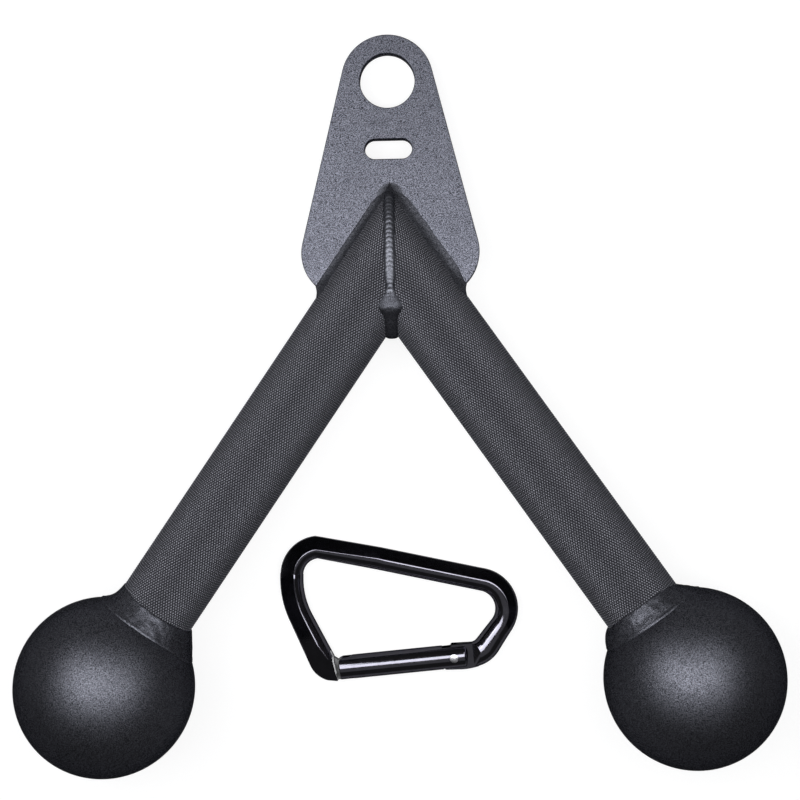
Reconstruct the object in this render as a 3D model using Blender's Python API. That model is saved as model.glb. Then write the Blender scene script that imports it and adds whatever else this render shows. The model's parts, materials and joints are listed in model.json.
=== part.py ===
"""Triceps pushdown attachment: a welded V handle with ball ends, and its snap hook.

Metres, +Z up. The handle is drawn flat about the point where its grip axes meet:
+X to the right grip, +Y to the hanging eye, +Z out of the eye plate's front. It then
lies on a surface, on its two end balls and on the back of its mitre weld.
The snap hook is drawn about its gate's pivot, +X towards the hinge end and +Y
towards the spine, and lies flat between the grips.
"""
import math

import bmesh
import bpy
from mathutils import Vector

mm = 0.001

# Grips: knurled pipes, measured over the knurl
grip_diameter = 34.0 * mm
grip_wall = 3.4 * mm
grip_half_angle = math.radians(34.75)
grip_to_ball = 218.0 * mm
mitre_gap = 0.3 * mm

# End balls: hollow, each bored for its grip
ball_diameter = 76.2 * mm
ball_wall = 3.0 * mm
grip_past_ball_wall = 1.5 * mm

# Eye plate: a tapered blade whose foot straddles the mitred grips
plate_thickness = 6.35 * mm
plate_top_radius = 19.5 * mm
plate_side_slope = math.radians(14.0)
plate_corner_radius = 19.0 * mm
plate_corner_height = 2.3 * mm
plate_edge_bevel = 0.4 * mm
eye_diameter = 23.2 * mm
eye_height = 75.0 * mm
window_length = 20.0 * mm
window_width = 8.5 * mm
window_height = 46.0 * mm

# Welds: every bead clears the metal it sits on by the seat gap
seat_gap = 0.3 * mm
mitre_bead_width = 3.6 * mm
mitre_bead_crown = 0.8 * mm
mitre_bead_start = math.radians(34.0)
mitre_bead_end = math.radians(119.0)
crotch_bead_start = math.radians(121.0)
crotch_bead_end_width = 8.4 * mm
crotch_bead_root_width = 5.2 * mm
crotch_bead_crown = 0.7 * mm
plate_weld_grip_leg = 4.1 * mm
plate_weld_plate_leg = 2.9 * mm
ball_fillet_radius = 11.0 * mm
plate_weld_hollow_share = 0.12

# Snap hook: a bent rod with a flat tang at its heel and a hooked key at its nose
rod_diameter = 10.0 * mm
gate_diameter = 10.5 * mm
snap_edge_break = 0.4 * mm
snap_span = 103.1 * mm
snap_depth = 58.1 * mm
snap_corner_shares = {
    "heel": (0.781, 0.0),
    "shoulder": (1.0, 0.459),
    "crown": (0.038, 1.0),
    "knee": (0.0, 0.577),
    "nose": (0.114, 0.0),
}
pivot_share = 0.663
heel_bend_radius = 10.0 * mm
shoulder_bend_radius = 13.0 * mm
crown_bend_radius = 12.3 * mm
knee_bend_radius = 39.7 * mm
nose_bend_radius = 6.0 * mm

# Hinge: the tang turns in the gate's forked end, on a rivet
tang_thickness = 4.6 * mm
tang_width = 11.2 * mm
tang_corner_radius = 3.6 * mm
tang_reach = 9.5 * mm
hinge_end_reach = 5.5 * mm
hinge_slot_depth = 8.5 * mm
rivet_diameter = 3.7 * mm
rivet_end_sink = 0.05 * mm
rivet_dome = 0.3 * mm
rivet_tip_share = 0.4
rivet_brow_share = 0.8
running_gap = 0.3 * mm
gate_opening = math.radians(27.0)

# Latch: the gate's cross pin drops into the notch of the nose key
nose_corner_to_plane = 3.6 * mm
nose_gap = 2.5 * mm
key_thickness = 3.6 * mm
key_width = 9.4 * mm
key_length = 7.7 * mm
latch_pin_diameter = 2.0 * mm
latch_pin_from_nose = 4.8 * mm
latch_pin_end_sink = 0.5 * mm
latch_play = 0.45 * mm
key_slot_depth = 6.1 * mm
gate_tip_chamfer_length = 3.1 * mm
gate_tip_chamfer_drop = 1.5 * mm

# Gate spring and plunger, in a bore along the gate
bore_diameter = 5.0 * mm
bore_depth = 28.0 * mm
plunger_diameter = 4.4 * mm
plunger_length = 8.0 * mm
plunger_stem_diameter = 2.0 * mm
plunger_stem_length = 3.0 * mm
spring_wire = 0.7 * mm
spring_diameter = 4.3 * mm
spring_turns = 9

# Where the snap hook lies, from the point where the grip axes meet
snap_pivot_across = 23.7 * mm
snap_pivot_below = 174.8 * mm
snap_turn = math.radians(4.95)

# Facets
grip_sides = 48
ball_segments = 36
ball_rings = 18
ball_hollow_segments = 20
ball_hollow_rings = 10
ball_weld_segments = 32
eye_sides = 32
rod_sides = 16
gate_sides = 24
pin_sides = 20
bend_step = math.radians(10.0)
bead_step = math.radians(5.0)
smooth_under = math.radians(35.0)
bevel_over = math.radians(60.0)
bead_points = 7
fillet_steps = 6
toe_steps = 3
plate_corner_steps = 10
plate_top_steps = 12
round_end_steps = 8
tang_corner_steps = 6
tilt_rounds = 30
spring_points_per_turn = 10
overrun = 2.0 * mm

grip_radius = grip_diameter / 2
ball_radius = ball_diameter / 2
seat_radius = grip_radius + seat_gap
half_plate = plate_thickness / 2
sin_half = math.sin(grip_half_angle)
cos_half = math.cos(grip_half_angle)
gate_radius = gate_diameter / 2
nose_plane = (snap_corner_shares["nose"][0] - pivot_share) * snap_span + nose_corner_to_plane
gate_tip = nose_plane + nose_gap
latch_pin_x = nose_plane + latch_pin_from_nose
cam_offset = tang_width / 2 - tang_corner_radius
plunger_face = -tang_corner_radius - running_gap
plunger_travel = cam_offset * math.sin(gate_opening)

up = Vector((0, 0, 1))


def material(name, colour, roughness, metallic):
    """Make one piece's own Principled material."""
    made = bpy.data.materials.new(name)
    made.use_nodes = True
    shader = made.node_tree.nodes["Principled BSDF"]
    shader.inputs["Base Color"].default_value = (*colour, 1)
    shader.inputs["Roughness"].default_value = roughness
    shader.inputs["Metallic"].default_value = metallic
    made.diffuse_color = (*colour, 1)
    return made


coat_grey = ((0.19, 0.19, 0.20), 0.55, 0.3)
coat_charcoal = ((0.045, 0.045, 0.048), 0.5, 0.3)
coat_black = ((0.022, 0.022, 0.024), 0.38, 0.3)
anodised_black = ((0.012, 0.012, 0.014), 0.22, 0.8)
bright_steel = ((0.72, 0.72, 0.73), 0.25, 1.0)


def to_object(name, bm, parent, finish):
    """Turn a bmesh into a smooth-shaded object under its parent."""
    bmesh.ops.recalc_face_normals(bm, faces=bm.faces)
    mesh = bpy.data.meshes.new(name)
    bm.to_mesh(mesh)
    bm.free()
    mesh.shade_smooth()
    mesh.set_sharp_from_angle(angle=smooth_under)
    made = bpy.data.objects.new(name, mesh)
    bpy.context.scene.collection.objects.link(made)
    made.parent = parent
    if finish:
        mesh.materials.append(material(name + "_finish", *finish))
    return made


def to_tool(name, bm, parent):
    """Turn a bmesh into a hidden shape that cuts or joins another piece."""
    tool = to_object(name, bm, parent, None)
    tool.hide_render = True
    tool.display_type = "WIRE"
    return tool


def combine(piece, tool, operation):
    """Cut a piece by a tool, or join the tool to it."""
    step = piece.modifiers.new(operation.lower() + "_" + tool.name, "BOOLEAN")
    step.operation = operation
    step.solver = "EXACT"
    step.object = tool


def empty(name, location, rotation):
    """Make a parent frame."""
    frame = bpy.data.objects.new(name, None)
    bpy.context.scene.collection.objects.link(frame)
    frame.location = location
    frame.rotation_euler = rotation
    return frame


def loft(rings, capped=True):
    """Join rings of as many points each into one skin, with flat ends."""
    bm = bmesh.new()
    rows = [[bm.verts.new(point) for point in ring] for ring in rings]
    count = len(rows[0])
    pairs = list(zip(rows, rows[1:]))
    if not capped:
        pairs.append((rows[-1], rows[0]))
    for low, high in pairs:
        for i in range(count):
            j = (i + 1) % count
            bm.faces.new((low[i], low[j], high[j], high[i]))
    if capped:
        bm.faces.new(rows[0][::-1])
        bm.faces.new(rows[-1])
    return bm


def prism(outline, low, high):
    """Extrude a flat outline between two heights."""
    return loft([[(x, y, z) for x, y in outline] for z in (low, high)])


def box(low, high):
    """Make a box between two corners."""
    outline = [(low[0], low[1]), (high[0], low[1]), (high[0], high[1]), (low[0], high[1])]
    return prism(outline, low[2], high[2])


def circle(centre, across, along, radius, sides):
    """List the points of a circle in the plane of two unit directions."""
    turns = [2 * math.pi * i / sides for i in range(sides)]
    return [centre + across * (radius * math.cos(a)) + along * (radius * math.sin(a)) for a in turns]


def turned(start, direction, profile, sides):
    """Turn a profile of (distance along, radius) pairs into a solid."""
    across = Vector((0, 0, 1)) if abs(direction.z) < 0.5 else Vector((0, 1, 0))
    along = direction.cross(across)
    return loft([circle(start + direction * s, across, along, r, sides) for s, r in profile])


def arc(centre, radius, start, end, steps):
    """List points along a flat arc, both ends included."""
    turns = [start + (end - start) * i / steps for i in range(steps + 1)]
    return [(centre[0] + radius * math.cos(a), centre[1] + radius * math.sin(a)) for a in turns]


# Handle geometry
def grip_frame(side):
    """Give a grip's direction away from the eye and its outward normal."""
    along = Vector((side * sin_half, -cos_half, 0))
    outward = Vector((side * cos_half, sin_half, 0))
    return along, outward


def mitred_ring(side, radius, plane_offset):
    """List a grip circle's points pushed along the grip to the mitre plane."""
    along, outward = grip_frame(side)
    ring = []
    for point in circle(Vector(), outward, up, radius, grip_sides):
        reach = (plane_offset - point.dot(outward) * cos_half) / sin_half
        ring.append(point + along * reach)
    return ring


def mitre_section(angle, width, crown):
    """List one section of a bead on the mitre, at an angle round the joint's ellipse."""
    rise = grip_radius / sin_half
    base = Vector((0, rise * math.cos(angle), grip_radius * math.sin(angle)))
    normal = Vector((0, math.cos(angle) / rise, math.sin(angle) / grip_radius)).normalized()

    def seat(x):
        flat = abs(x) * cos_half + base.y * sin_half
        a = (sin_half * normal.y) ** 2 + normal.z ** 2
        b = flat * sin_half * normal.y + base.z * normal.z
        c = flat ** 2 + base.z ** 2 - seat_radius ** 2
        return (math.sqrt(b * b - a * c) - b) / a

    shares = [2 * i / (bead_points - 1) - 1 for i in range(bead_points)]
    edge = seat(width / 2)
    bulge = crown + max(seat(0) - edge, 0)
    under = [(s * width / 2, seat(s * width / 2)) for s in shares]
    over = [(s * width / 2, edge + bulge * (1 - s * s)) for s in shares[1:-1]]
    return [base + Vector((x, 0, 0)) + normal * t for x, t in under + over[::-1]]


def mitre_bead_angles(start, end):
    """List the angles of a bead's sections."""
    steps = max(2, round((end - start) / bead_step))
    return [start + (end - start) * i / steps for i in range(steps + 1)]


def back_bead_low(tilt):
    """Find how far below the grip axes' meeting point the tilted back bead reaches."""
    low = 0
    for angle in mitre_bead_angles(mitre_bead_start, mitre_bead_end):
        for point in mitre_section(-angle, mitre_bead_width, mitre_bead_crown):
            low = min(low, point.z * math.cos(tilt) - point.y * math.sin(tilt))
    return -low


def resting_tilt():
    """Find the tilt at which both balls and the back bead touch the surface."""
    tilt = 0
    for _ in range(tilt_rounds):
        tilt = math.asin((ball_radius - back_bead_low(tilt)) / (grip_to_ball * cos_half))
    return tilt


def grip_tube(side, name, parent):
    """Make a hollow grip, mitred at the top and open inside its ball."""
    along, outward = grip_frame(side)
    inner_ball = ball_radius - ball_wall
    reach = math.sqrt(inner_ball ** 2 - grip_radius ** 2) - grip_past_ball_wall
    end = along * (grip_to_ball - reach)
    bore = grip_radius - grip_wall
    rings = [
        mitred_ring(side, grip_radius, mitre_gap / 2),
        circle(end, outward, up, grip_radius, grip_sides),
        circle(end, outward, up, bore, grip_sides),
        mitred_ring(side, bore, mitre_gap / 2),
    ]
    return to_object(name, loft(rings, capped=False), parent, coat_charcoal)


def end_ball(side, name, parent, tilt):
    """Make a hollow ball with an opening that its grip passes through."""
    along, outward = grip_frame(side)
    centre = along * grip_to_ball

    def sphere(radius, segments, rings):
        bm = bmesh.new()
        bmesh.ops.create_uvsphere(bm, u_segments=segments, v_segments=rings, radius=radius)
        return bm

    ball = to_object(name, sphere(ball_radius, ball_segments, ball_rings), parent, coat_black)
    hollow_mesh = sphere(ball_radius - ball_wall, ball_hollow_segments, ball_hollow_rings)
    hollow = to_tool(name + "_hollow", hollow_mesh, parent)
    for item in (ball, hollow):
        item.location = centre
        item.rotation_euler = (tilt, 0, 0)
    rings = [
        circle(centre, outward, up, seat_radius, grip_sides),
        circle(centre - along * (ball_radius + overrun), outward, up, seat_radius, grip_sides),
    ]
    bore = to_tool(name + "_bore", loft(rings), parent)
    combine(ball, hollow, "DIFFERENCE")
    combine(ball, bore, "DIFFERENCE")
    return ball


def ball_weld(side, name, parent):
    """Turn the concave fillet between a grip and its ball."""
    along, outward = grip_frame(side)
    centre = along * grip_to_ball
    seat_ball = ball_radius + seat_gap
    fillet_out = grip_radius + ball_fillet_radius
    span = ball_radius + ball_fillet_radius
    fillet_along = math.sqrt(span ** 2 - fillet_out ** 2)
    lean = math.atan2(fillet_out, fillet_along)
    grip_end = math.acos((ball_fillet_radius - seat_gap) / ball_fillet_radius)
    cosine = (span ** 2 + ball_fillet_radius ** 2 - seat_ball ** 2) / (2 * span * ball_fillet_radius)
    ball_end = math.acos(cosine)
    first = -math.pi / 2 - grip_end
    last = -math.pi + lean + ball_end
    outline = arc((fillet_along, fillet_out), ball_fillet_radius, first, last, fillet_steps)
    corner = math.asin(seat_radius / seat_ball)
    toe = math.atan2(outline[-1][1], outline[-1][0])
    outline += arc((0, 0), seat_ball, toe, corner, toe_steps)[1:]
    rings = [circle(centre - along * s, outward, up, r, ball_weld_segments) for s, r in outline]
    return to_object(name, loft(rings, capped=False), parent, coat_black)


def corner_centre():
    """Give the centre of the plate's right-hand corner arc."""
    drop = (plate_corner_height - eye_height) * math.sin(plate_side_slope)
    across = (plate_top_radius - plate_corner_radius - drop) / math.cos(plate_side_slope)
    return Vector((across, plate_corner_height, 0))


def plate_foot_end():
    """Give the angle at which the corner arc meets the grip, and how far along the grip."""
    along, outward = grip_frame(1)
    centre = corner_centre()
    foot = math.acos((seat_radius - centre.dot(outward)) / plate_corner_radius)
    level = math.sqrt(plate_corner_radius ** 2 - (seat_radius - centre.dot(outward)) ** 2)
    return grip_half_angle - foot, centre.dot(along) + level


def eye_plate(parent):
    """Make the eye plate with its notch, eye and window, and its softened edges."""
    foot_angle = plate_foot_end()[0]
    centre = corner_centre()
    right = [(0, seat_radius / sin_half)]
    right += arc(centre[:2], plate_corner_radius, foot_angle, plate_side_slope, plate_corner_steps)
    right += arc((0, eye_height), plate_top_radius, plate_side_slope, math.pi / 2, plate_top_steps)
    left = [(-x, y) for x, y in right[1:-1]][::-1]
    plate = to_object("eye_plate", prism(right + left, -half_plate, half_plate), parent, coat_grey)
    reach = half_plate + overrun
    eye = arc((0, eye_height), eye_diameter / 2, 0, 2 * math.pi, eye_sides)[:-1]
    end_x = (window_length - window_width) / 2
    quarter = math.pi / 2
    window = arc((end_x, window_height), window_width / 2, -quarter, quarter, round_end_steps)
    window += arc((-end_x, window_height), window_width / 2, quarter, 3 * quarter, round_end_steps)
    for label, outline in (("eye_plate_eye", eye), ("eye_plate_window", window)):
        combine(plate, to_tool(label, prism(outline, -reach, reach), parent), "DIFFERENCE")
    bevel = plate.modifiers.new("softened_edges", "BEVEL")
    bevel.width = plate_edge_bevel
    bevel.segments = 1
    bevel.limit_method = "ANGLE"
    bevel.angle_limit = bevel_over
    return plate


def plate_weld(side, face, name, parent):
    """Lay the fillet between the plate's face and a grip, and round the plate's end."""
    along, outward = grip_frame(side)
    foot_reach = plate_foot_end()[1]
    leg = plate_weld_grip_leg
    height = plate_weld_plate_leg
    outline = [(seat_gap + (leg - seat_gap) * s, 0) for s in (0, 0.5, 1)]
    for share in (0.75, 0.5, 0.25):
        hollow = plate_weld_hollow_share * math.sin(math.pi * share)
        outline.append((seat_gap + (leg - seat_gap) * (share - hollow), height * (1 - share - hollow)))
    outline.append((seat_gap, height))

    def place(s, z, rise):
        lift = math.sqrt(seat_radius ** 2 - z ** 2) + rise
        return along * s + outward * lift + up * (face * z)

    rings = [[]]
    for out, rise in outline:
        z = half_plate + out
        lift = math.sqrt(seat_radius ** 2 - z ** 2) + rise
        rings[0].append(place((mitre_gap / 2 - lift * cos_half) / sin_half, z, rise))
    for share in (0, 0.5, 1):
        rings.append([place(foot_reach * share, half_plate + out, rise) for out, rise in outline])
    for turn in (0.25, 0.5, 0.75, 1):
        swing = math.pi / 2 * turn
        sweep = [(foot_reach + out * math.sin(swing), half_plate + out * math.cos(swing), rise)
                 for out, rise in outline]
        rings.append([place(s, z, rise) for s, z, rise in sweep])
    rings.append([place(foot_reach + out, mitre_gap / 2, rise) for out, rise in outline])
    return to_object(name, loft(rings), parent, coat_grey)


def mitre_weld(face, name, parent):
    """Lay the bead across the mitre on one face."""
    rings = [mitre_section(face * angle, mitre_bead_width, mitre_bead_crown)
             for angle in mitre_bead_angles(mitre_bead_start, mitre_bead_end)]
    return to_object(name, loft(rings), parent, coat_grey)


def crotch_weld(parent):
    """Fill the inner corner of the V, widening towards both faces."""
    end = 2 * math.pi - crotch_bead_start
    spread = crotch_bead_end_width - crotch_bead_root_width
    rings = []
    for angle in mitre_bead_angles(crotch_bead_start, end):
        share = abs(angle - math.pi) / (math.pi - crotch_bead_start)
        width = crotch_bead_root_width + spread * share
        rings.append(mitre_section(angle, width, crotch_bead_crown))
    return to_object("crotch_weld", loft(rings), parent, coat_charcoal)


# Snap hook geometry
def snap_corner(name):
    """Give a corner of the rod's centre line, from the pivot."""
    across, depth = snap_corner_shares[name]
    return Vector(((across - pivot_share) * snap_span, depth * snap_depth, 0))


def rounded_path(points, radii, sizes):
    """Round a polyline's corners; list each station's place, direction and section size."""
    ways = [(b - a).normalized() for a, b in zip(points, points[1:])]
    lengths = [(b - a).length for a, b in zip(points, points[1:])]
    turns = [math.atan2(a.cross(b).z, a.dot(b)) for a, b in zip(ways, ways[1:])]
    cuts = [0] + [r * math.tan(abs(t) / 2) for r, t in zip(radii, turns)] + [0]
    limits = [min(1, length / (a + b)) for length, a, b in zip(lengths, cuts, cuts[1:])]
    stations = [(points[0], ways[0], sizes[0])]
    for i, turn in enumerate(turns):
        cut = cuts[i + 1] * min(limits[i], limits[i + 1])
        radius = cut / math.tan(abs(turn) / 2)
        sign = math.copysign(1, turn)
        start = points[i + 1] - ways[i] * cut
        inward = up.cross(ways[i]) * sign
        steps = max(2, round(abs(turn) / bend_step))
        for k in range(steps + 1):
            swing = abs(turn) * k / steps
            spot = start + inward * (radius * (1 - math.cos(swing))) + ways[i] * (radius * math.sin(swing))
            way = ways[i] * math.cos(swing) + inward * math.sin(swing)
            stations.append((spot, way, sizes[i + 1]))
    stations.append((points[-1], ways[-1], sizes[-1]))
    return stations


def snap_body(parent):
    """Bend the rod round the hook, then flatten its heel and key its nose."""
    rod = rod_diameter / 2
    heel_size = (tang_width / 2, gate_radius)
    middle = (rod, rod)
    nose_size = (gate_radius, gate_radius)
    knee_size = ((rod + gate_radius) / 2,) * 2
    names = ("heel", "shoulder", "crown", "knee", "nose")
    corners = [snap_corner(name) for name in names]
    start = Vector((tang_reach / 2, 0, 0))
    end = Vector((gate_tip, 0, 0))
    radii = (heel_bend_radius, shoulder_bend_radius, crown_bend_radius, knee_bend_radius, nose_bend_radius)
    sizes = (heel_size, heel_size, middle, middle, knee_size, nose_size, nose_size)
    rings = []
    for spot, way, (wide, high) in rounded_path([start] + corners + [end], radii, sizes):
        side = up.cross(way)
        turns = [2 * math.pi * i / rod_sides for i in range(rod_sides)]
        rings.append([spot + side * (wide * math.cos(a)) + up * (high * math.sin(a)) for a in turns])
    body = to_object("snap_hook_body", loft(rings), parent, anodised_black)

    reach = tang_width / 2 + overrun
    heel_cut = box((-overrun, -reach, -reach), (tang_reach, reach, reach))
    nose_cut = box((nose_plane, -reach, -reach), (gate_tip + overrun, reach, reach))
    combine(body, to_tool("snap_heel_cut", heel_cut, parent), "DIFFERENCE")
    combine(body, to_tool("snap_nose_cut", nose_cut, parent), "DIFFERENCE")

    half = tang_width / 2
    back = tang_reach + overrun
    quarter = math.pi / 2
    tang = [(back, half - snap_edge_break)]
    tang += arc((0, cam_offset), tang_corner_radius, quarter, math.pi, tang_corner_steps)
    tang += arc((0, -cam_offset), tang_corner_radius, math.pi, 3 * quarter, tang_corner_steps)
    tang += [(back, snap_edge_break - half)]
    tang_tool = prism(tang, -tang_thickness / 2, tang_thickness / 2)
    combine(body, to_tool("snap_tang", tang_tool, parent), "UNION")
    hole_profile = [(-reach, rivet_diameter / 2 + running_gap), (reach, rivet_diameter / 2 + running_gap)]
    hole = turned(Vector(), up, hole_profile, pin_sides)
    combine(body, to_tool("snap_rivet_hole", hole, parent), "DIFFERENCE")

    half = key_width / 2
    tip = nose_plane + key_length
    notch = latch_pin_diameter / 2 + latch_play
    key = [(nose_plane - overrun, -half), (tip, -half), (tip, half), (latch_pin_x + notch, half)]
    key += arc((latch_pin_x, 0), notch, 0, -math.pi, round_end_steps)
    key += [(latch_pin_x - notch, half), (nose_plane - overrun, half)]
    key_tool = prism(key, -key_thickness / 2, key_thickness / 2)
    combine(body, to_tool("snap_key", key_tool, parent), "UNION")
    return body


def gate_barrel(parent):
    """Make the round gate: forked at both ends, bored for its spring and pins."""
    axis = Vector((1, 0, 0))
    lip = snap_edge_break
    profile = [(gate_tip, gate_radius - lip), (gate_tip + lip, gate_radius),
               (hinge_end_reach - lip, gate_radius), (hinge_end_reach, gate_radius - lip)]
    gate = to_object("gate", turned(Vector(), axis, profile, gate_sides), parent, anodised_black)

    reach = gate_radius + overrun
    half_slot = tang_thickness / 2 + running_gap
    hinge_slot = box((-hinge_slot_depth, -reach, -half_slot), (hinge_end_reach + overrun, reach, half_slot))
    half_slot = key_thickness / 2 + running_gap
    key_slot = box((gate_tip - overrun, -reach, -half_slot), (gate_tip + key_slot_depth, reach, half_slot))
    bore_profile = [(-bore_depth, bore_diameter / 2), (-hinge_slot_depth + overrun, bore_diameter / 2)]
    bore = turned(Vector(), axis, bore_profile, pin_sides)
    rivet_profile = [(-reach, rivet_diameter / 2 + running_gap), (reach, rivet_diameter / 2 + running_gap)]
    rivet_hole = turned(Vector(), up, rivet_profile, pin_sides)
    pin_hole_radius = latch_pin_diameter / 2 + running_gap
    pin_profile = [(-reach, pin_hole_radius), (reach, pin_hole_radius)]
    pin_hole = turned(Vector((latch_pin_x, 0, 0)), up, pin_profile, pin_sides)
    slope = gate_tip_chamfer_drop / gate_tip_chamfer_length
    wedge = [(gate_tip - overrun, gate_radius - gate_tip_chamfer_drop - overrun * slope),
             (gate_tip + gate_tip_chamfer_length + overrun, gate_radius + overrun * slope),
             (gate_tip - overrun, gate_radius + overrun * slope)]
    chamfer = prism(wedge, -reach, reach)
    cuts = {"gate_hinge_slot": hinge_slot, "gate_key_slot": key_slot, "gate_bore": bore,
            "gate_rivet_hole": rivet_hole, "gate_pin_hole": pin_hole, "gate_tip_chamfer": chamfer}
    for label, shape in cuts.items():
        combine(gate, to_tool(label, shape, parent), "DIFFERENCE")
    return gate


def gate_rivet(parent):
    """Make the hinge rivet, with low domed ends."""
    radius = rivet_diameter / 2
    top = gate_radius - rivet_end_sink
    dome = [(top - rivet_dome, radius),
            (top - rivet_dome * rivet_tip_share, radius * rivet_brow_share),
            (top, radius * rivet_tip_share)]
    profile = [(-s, r) for s, r in dome[::-1]] + dome
    return to_object("gate_rivet", turned(Vector(), up, profile, pin_sides), parent, bright_steel)


def gate_latch_pin(parent):
    """Make the cross pin that drops into the nose key."""
    radius = latch_pin_diameter / 2
    reach = gate_radius - latch_pin_end_sink
    shape = turned(Vector((latch_pin_x, 0, 0)), up, [(-reach, radius), (reach, radius)], pin_sides)
    return to_object("gate_latch_pin", shape, parent, bright_steel)


def gate_plunger(parent):
    """Make the plunger that the spring presses against the tang."""
    radius = plunger_diameter / 2
    stem = plunger_stem_diameter / 2
    back = plunger_length
    profile = [(0, radius - snap_edge_break), (snap_edge_break, radius), (back, radius),
               (back, stem), (back + plunger_stem_length, stem)]
    shape = turned(Vector((plunger_face, 0, 0)), Vector((-1, 0, 0)), profile, pin_sides)
    return to_object("gate_plunger", shape, parent, bright_steel)


def gate_spring(parent):
    """Wind the gate's coil spring between the plunger and the end of the bore."""
    coil = (spring_diameter - spring_wire) / 2
    start = plunger_face - plunger_length - running_gap - spring_wire / 2
    end = -bore_depth + running_gap + spring_wire / 2
    points_per_turn = spring_points_per_turn
    count = spring_turns * points_per_turn
    path = []
    for i in range(count + 1):
        turn = 2 * math.pi * i / points_per_turn
        along = start + (end - start) * i / count
        path.append(Vector((along, coil * math.cos(turn), coil * math.sin(turn))))
    pairs = zip(path, path[points_per_turn:])
    least_gap = min((low - high).length for low, high in pairs) - spring_wire
    print("gate_spring: least gap between turns", round(least_gap / mm, 3), "mm")
    curve = bpy.data.curves.new("gate_spring", "CURVE")
    curve.dimensions = "3D"
    curve.bevel_depth = spring_wire / 2
    curve.bevel_resolution = 1
    curve.use_fill_caps = True
    spline = curve.splines.new("POLY")
    spline.points.add(count)
    for point, place in zip(spline.points, path):
        point.co = (*place, 1)
    curve.materials.append(material("gate_spring_finish", *bright_steel))
    spring = bpy.data.objects.new("gate_spring", curve)
    bpy.context.scene.collection.objects.link(spring)
    spring.parent = parent
    return spring


def build():
    """Clear the scene and make the whole attachment."""
    for old in list(bpy.data.objects):
        bpy.data.objects.remove(old, do_unlink=True)

    tilt = resting_tilt()
    drop = grip_to_ball * cos_half
    eye_end = (eye_height + plate_top_radius) * math.cos(tilt) + half_plate * math.sin(tilt)
    ball_end = drop * math.cos(tilt) + ball_radius
    centre_y = (ball_end - eye_end) / 2
    rest_height = ball_radius - drop * math.sin(tilt)
    handle = empty("handle_rest", (0, centre_y, rest_height), (-tilt, 0, 0))
    for side, label in ((-1, "left"), (1, "right")):
        grip_tube(side, label + "_grip_tube", handle)
        end_ball(side, label + "_end_ball", handle, tilt)
        ball_weld(side, label + "_ball_weld", handle)
        plate_weld(side, 1, label + "_plate_weld_front", handle)
        plate_weld(side, -1, label + "_plate_weld_back", handle)
    eye_plate(handle)
    mitre_weld(1, "mitre_weld_front", handle)
    mitre_weld(-1, "mitre_weld_back", handle)
    crotch_weld(handle)

    place = (snap_pivot_across, centre_y - snap_pivot_below, gate_radius)
    snap_frame = empty("snap_hook_rest", place, (0, 0, snap_turn))
    snap_body(snap_frame)
    gate_frame = empty("gate_pivot", (0, 0, 0), (0, 0, 0))
    gate_frame.parent = snap_frame
    gate_barrel(gate_frame)
    gate_rivet(gate_frame)
    gate_latch_pin(gate_frame)
    gate_plunger(gate_frame)
    gate_spring(gate_frame)


build()
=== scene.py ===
"""Looks of a triceps pushdown attachment and its snap hook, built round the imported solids.

Metres, +Z up. The handle's pieces are drawn flat, about the point where the grip axes
meet, and the snap hook's about its gate's pivot. Each is then placed where its solid is.
"""
import json
import math

import bmesh
import bpy
from mathutils import Matrix, Vector, noise


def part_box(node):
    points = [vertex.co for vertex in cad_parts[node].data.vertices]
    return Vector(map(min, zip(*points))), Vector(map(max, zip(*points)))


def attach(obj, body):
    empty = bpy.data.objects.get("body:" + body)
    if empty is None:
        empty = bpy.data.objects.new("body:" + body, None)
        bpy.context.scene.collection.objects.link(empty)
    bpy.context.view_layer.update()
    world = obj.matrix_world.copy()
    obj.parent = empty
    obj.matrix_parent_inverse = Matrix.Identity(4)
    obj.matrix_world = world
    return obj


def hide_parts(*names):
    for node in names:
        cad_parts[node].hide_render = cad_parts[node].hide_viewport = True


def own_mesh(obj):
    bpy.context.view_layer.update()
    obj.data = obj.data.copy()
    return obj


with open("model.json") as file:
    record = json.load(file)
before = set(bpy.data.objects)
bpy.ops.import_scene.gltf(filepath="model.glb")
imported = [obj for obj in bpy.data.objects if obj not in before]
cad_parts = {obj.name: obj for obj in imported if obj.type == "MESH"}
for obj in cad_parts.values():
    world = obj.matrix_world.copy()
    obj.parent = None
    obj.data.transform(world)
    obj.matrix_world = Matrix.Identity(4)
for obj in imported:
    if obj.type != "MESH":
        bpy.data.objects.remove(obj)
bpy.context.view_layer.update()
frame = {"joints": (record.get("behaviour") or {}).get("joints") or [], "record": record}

mm = 0.001
up = Vector((0, 0, 1))

# Grips: knurled pipes, measured over the knurl
grip_radius = 17.0 * mm
grip_wall = 3.4 * mm
grip_to_ball = 218.0 * mm
grip_inner_end = 188.8 * mm
knurl_columns = 180
knurl_rows = 210
knurl_step = 1.02 * mm
knurl_depth = 0.27 * mm

# End balls
ball_wall = 3.0 * mm
ball_segments = 128
ball_rings = 64

# Eye plate
plate_thickness = 6.35 * mm
plate_top_radius = 19.5 * mm
plate_side_slope = math.radians(14.0)
plate_corner_radius = 19.0 * mm
plate_corner_height = 2.3 * mm
plate_edge_round = 0.5 * mm
plate_foot_sink = 0.4 * mm
eye_radius = 11.6 * mm
eye_height = 75.0 * mm
window_length = 20.0 * mm
window_width = 8.5 * mm
window_height = 46.0 * mm

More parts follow.
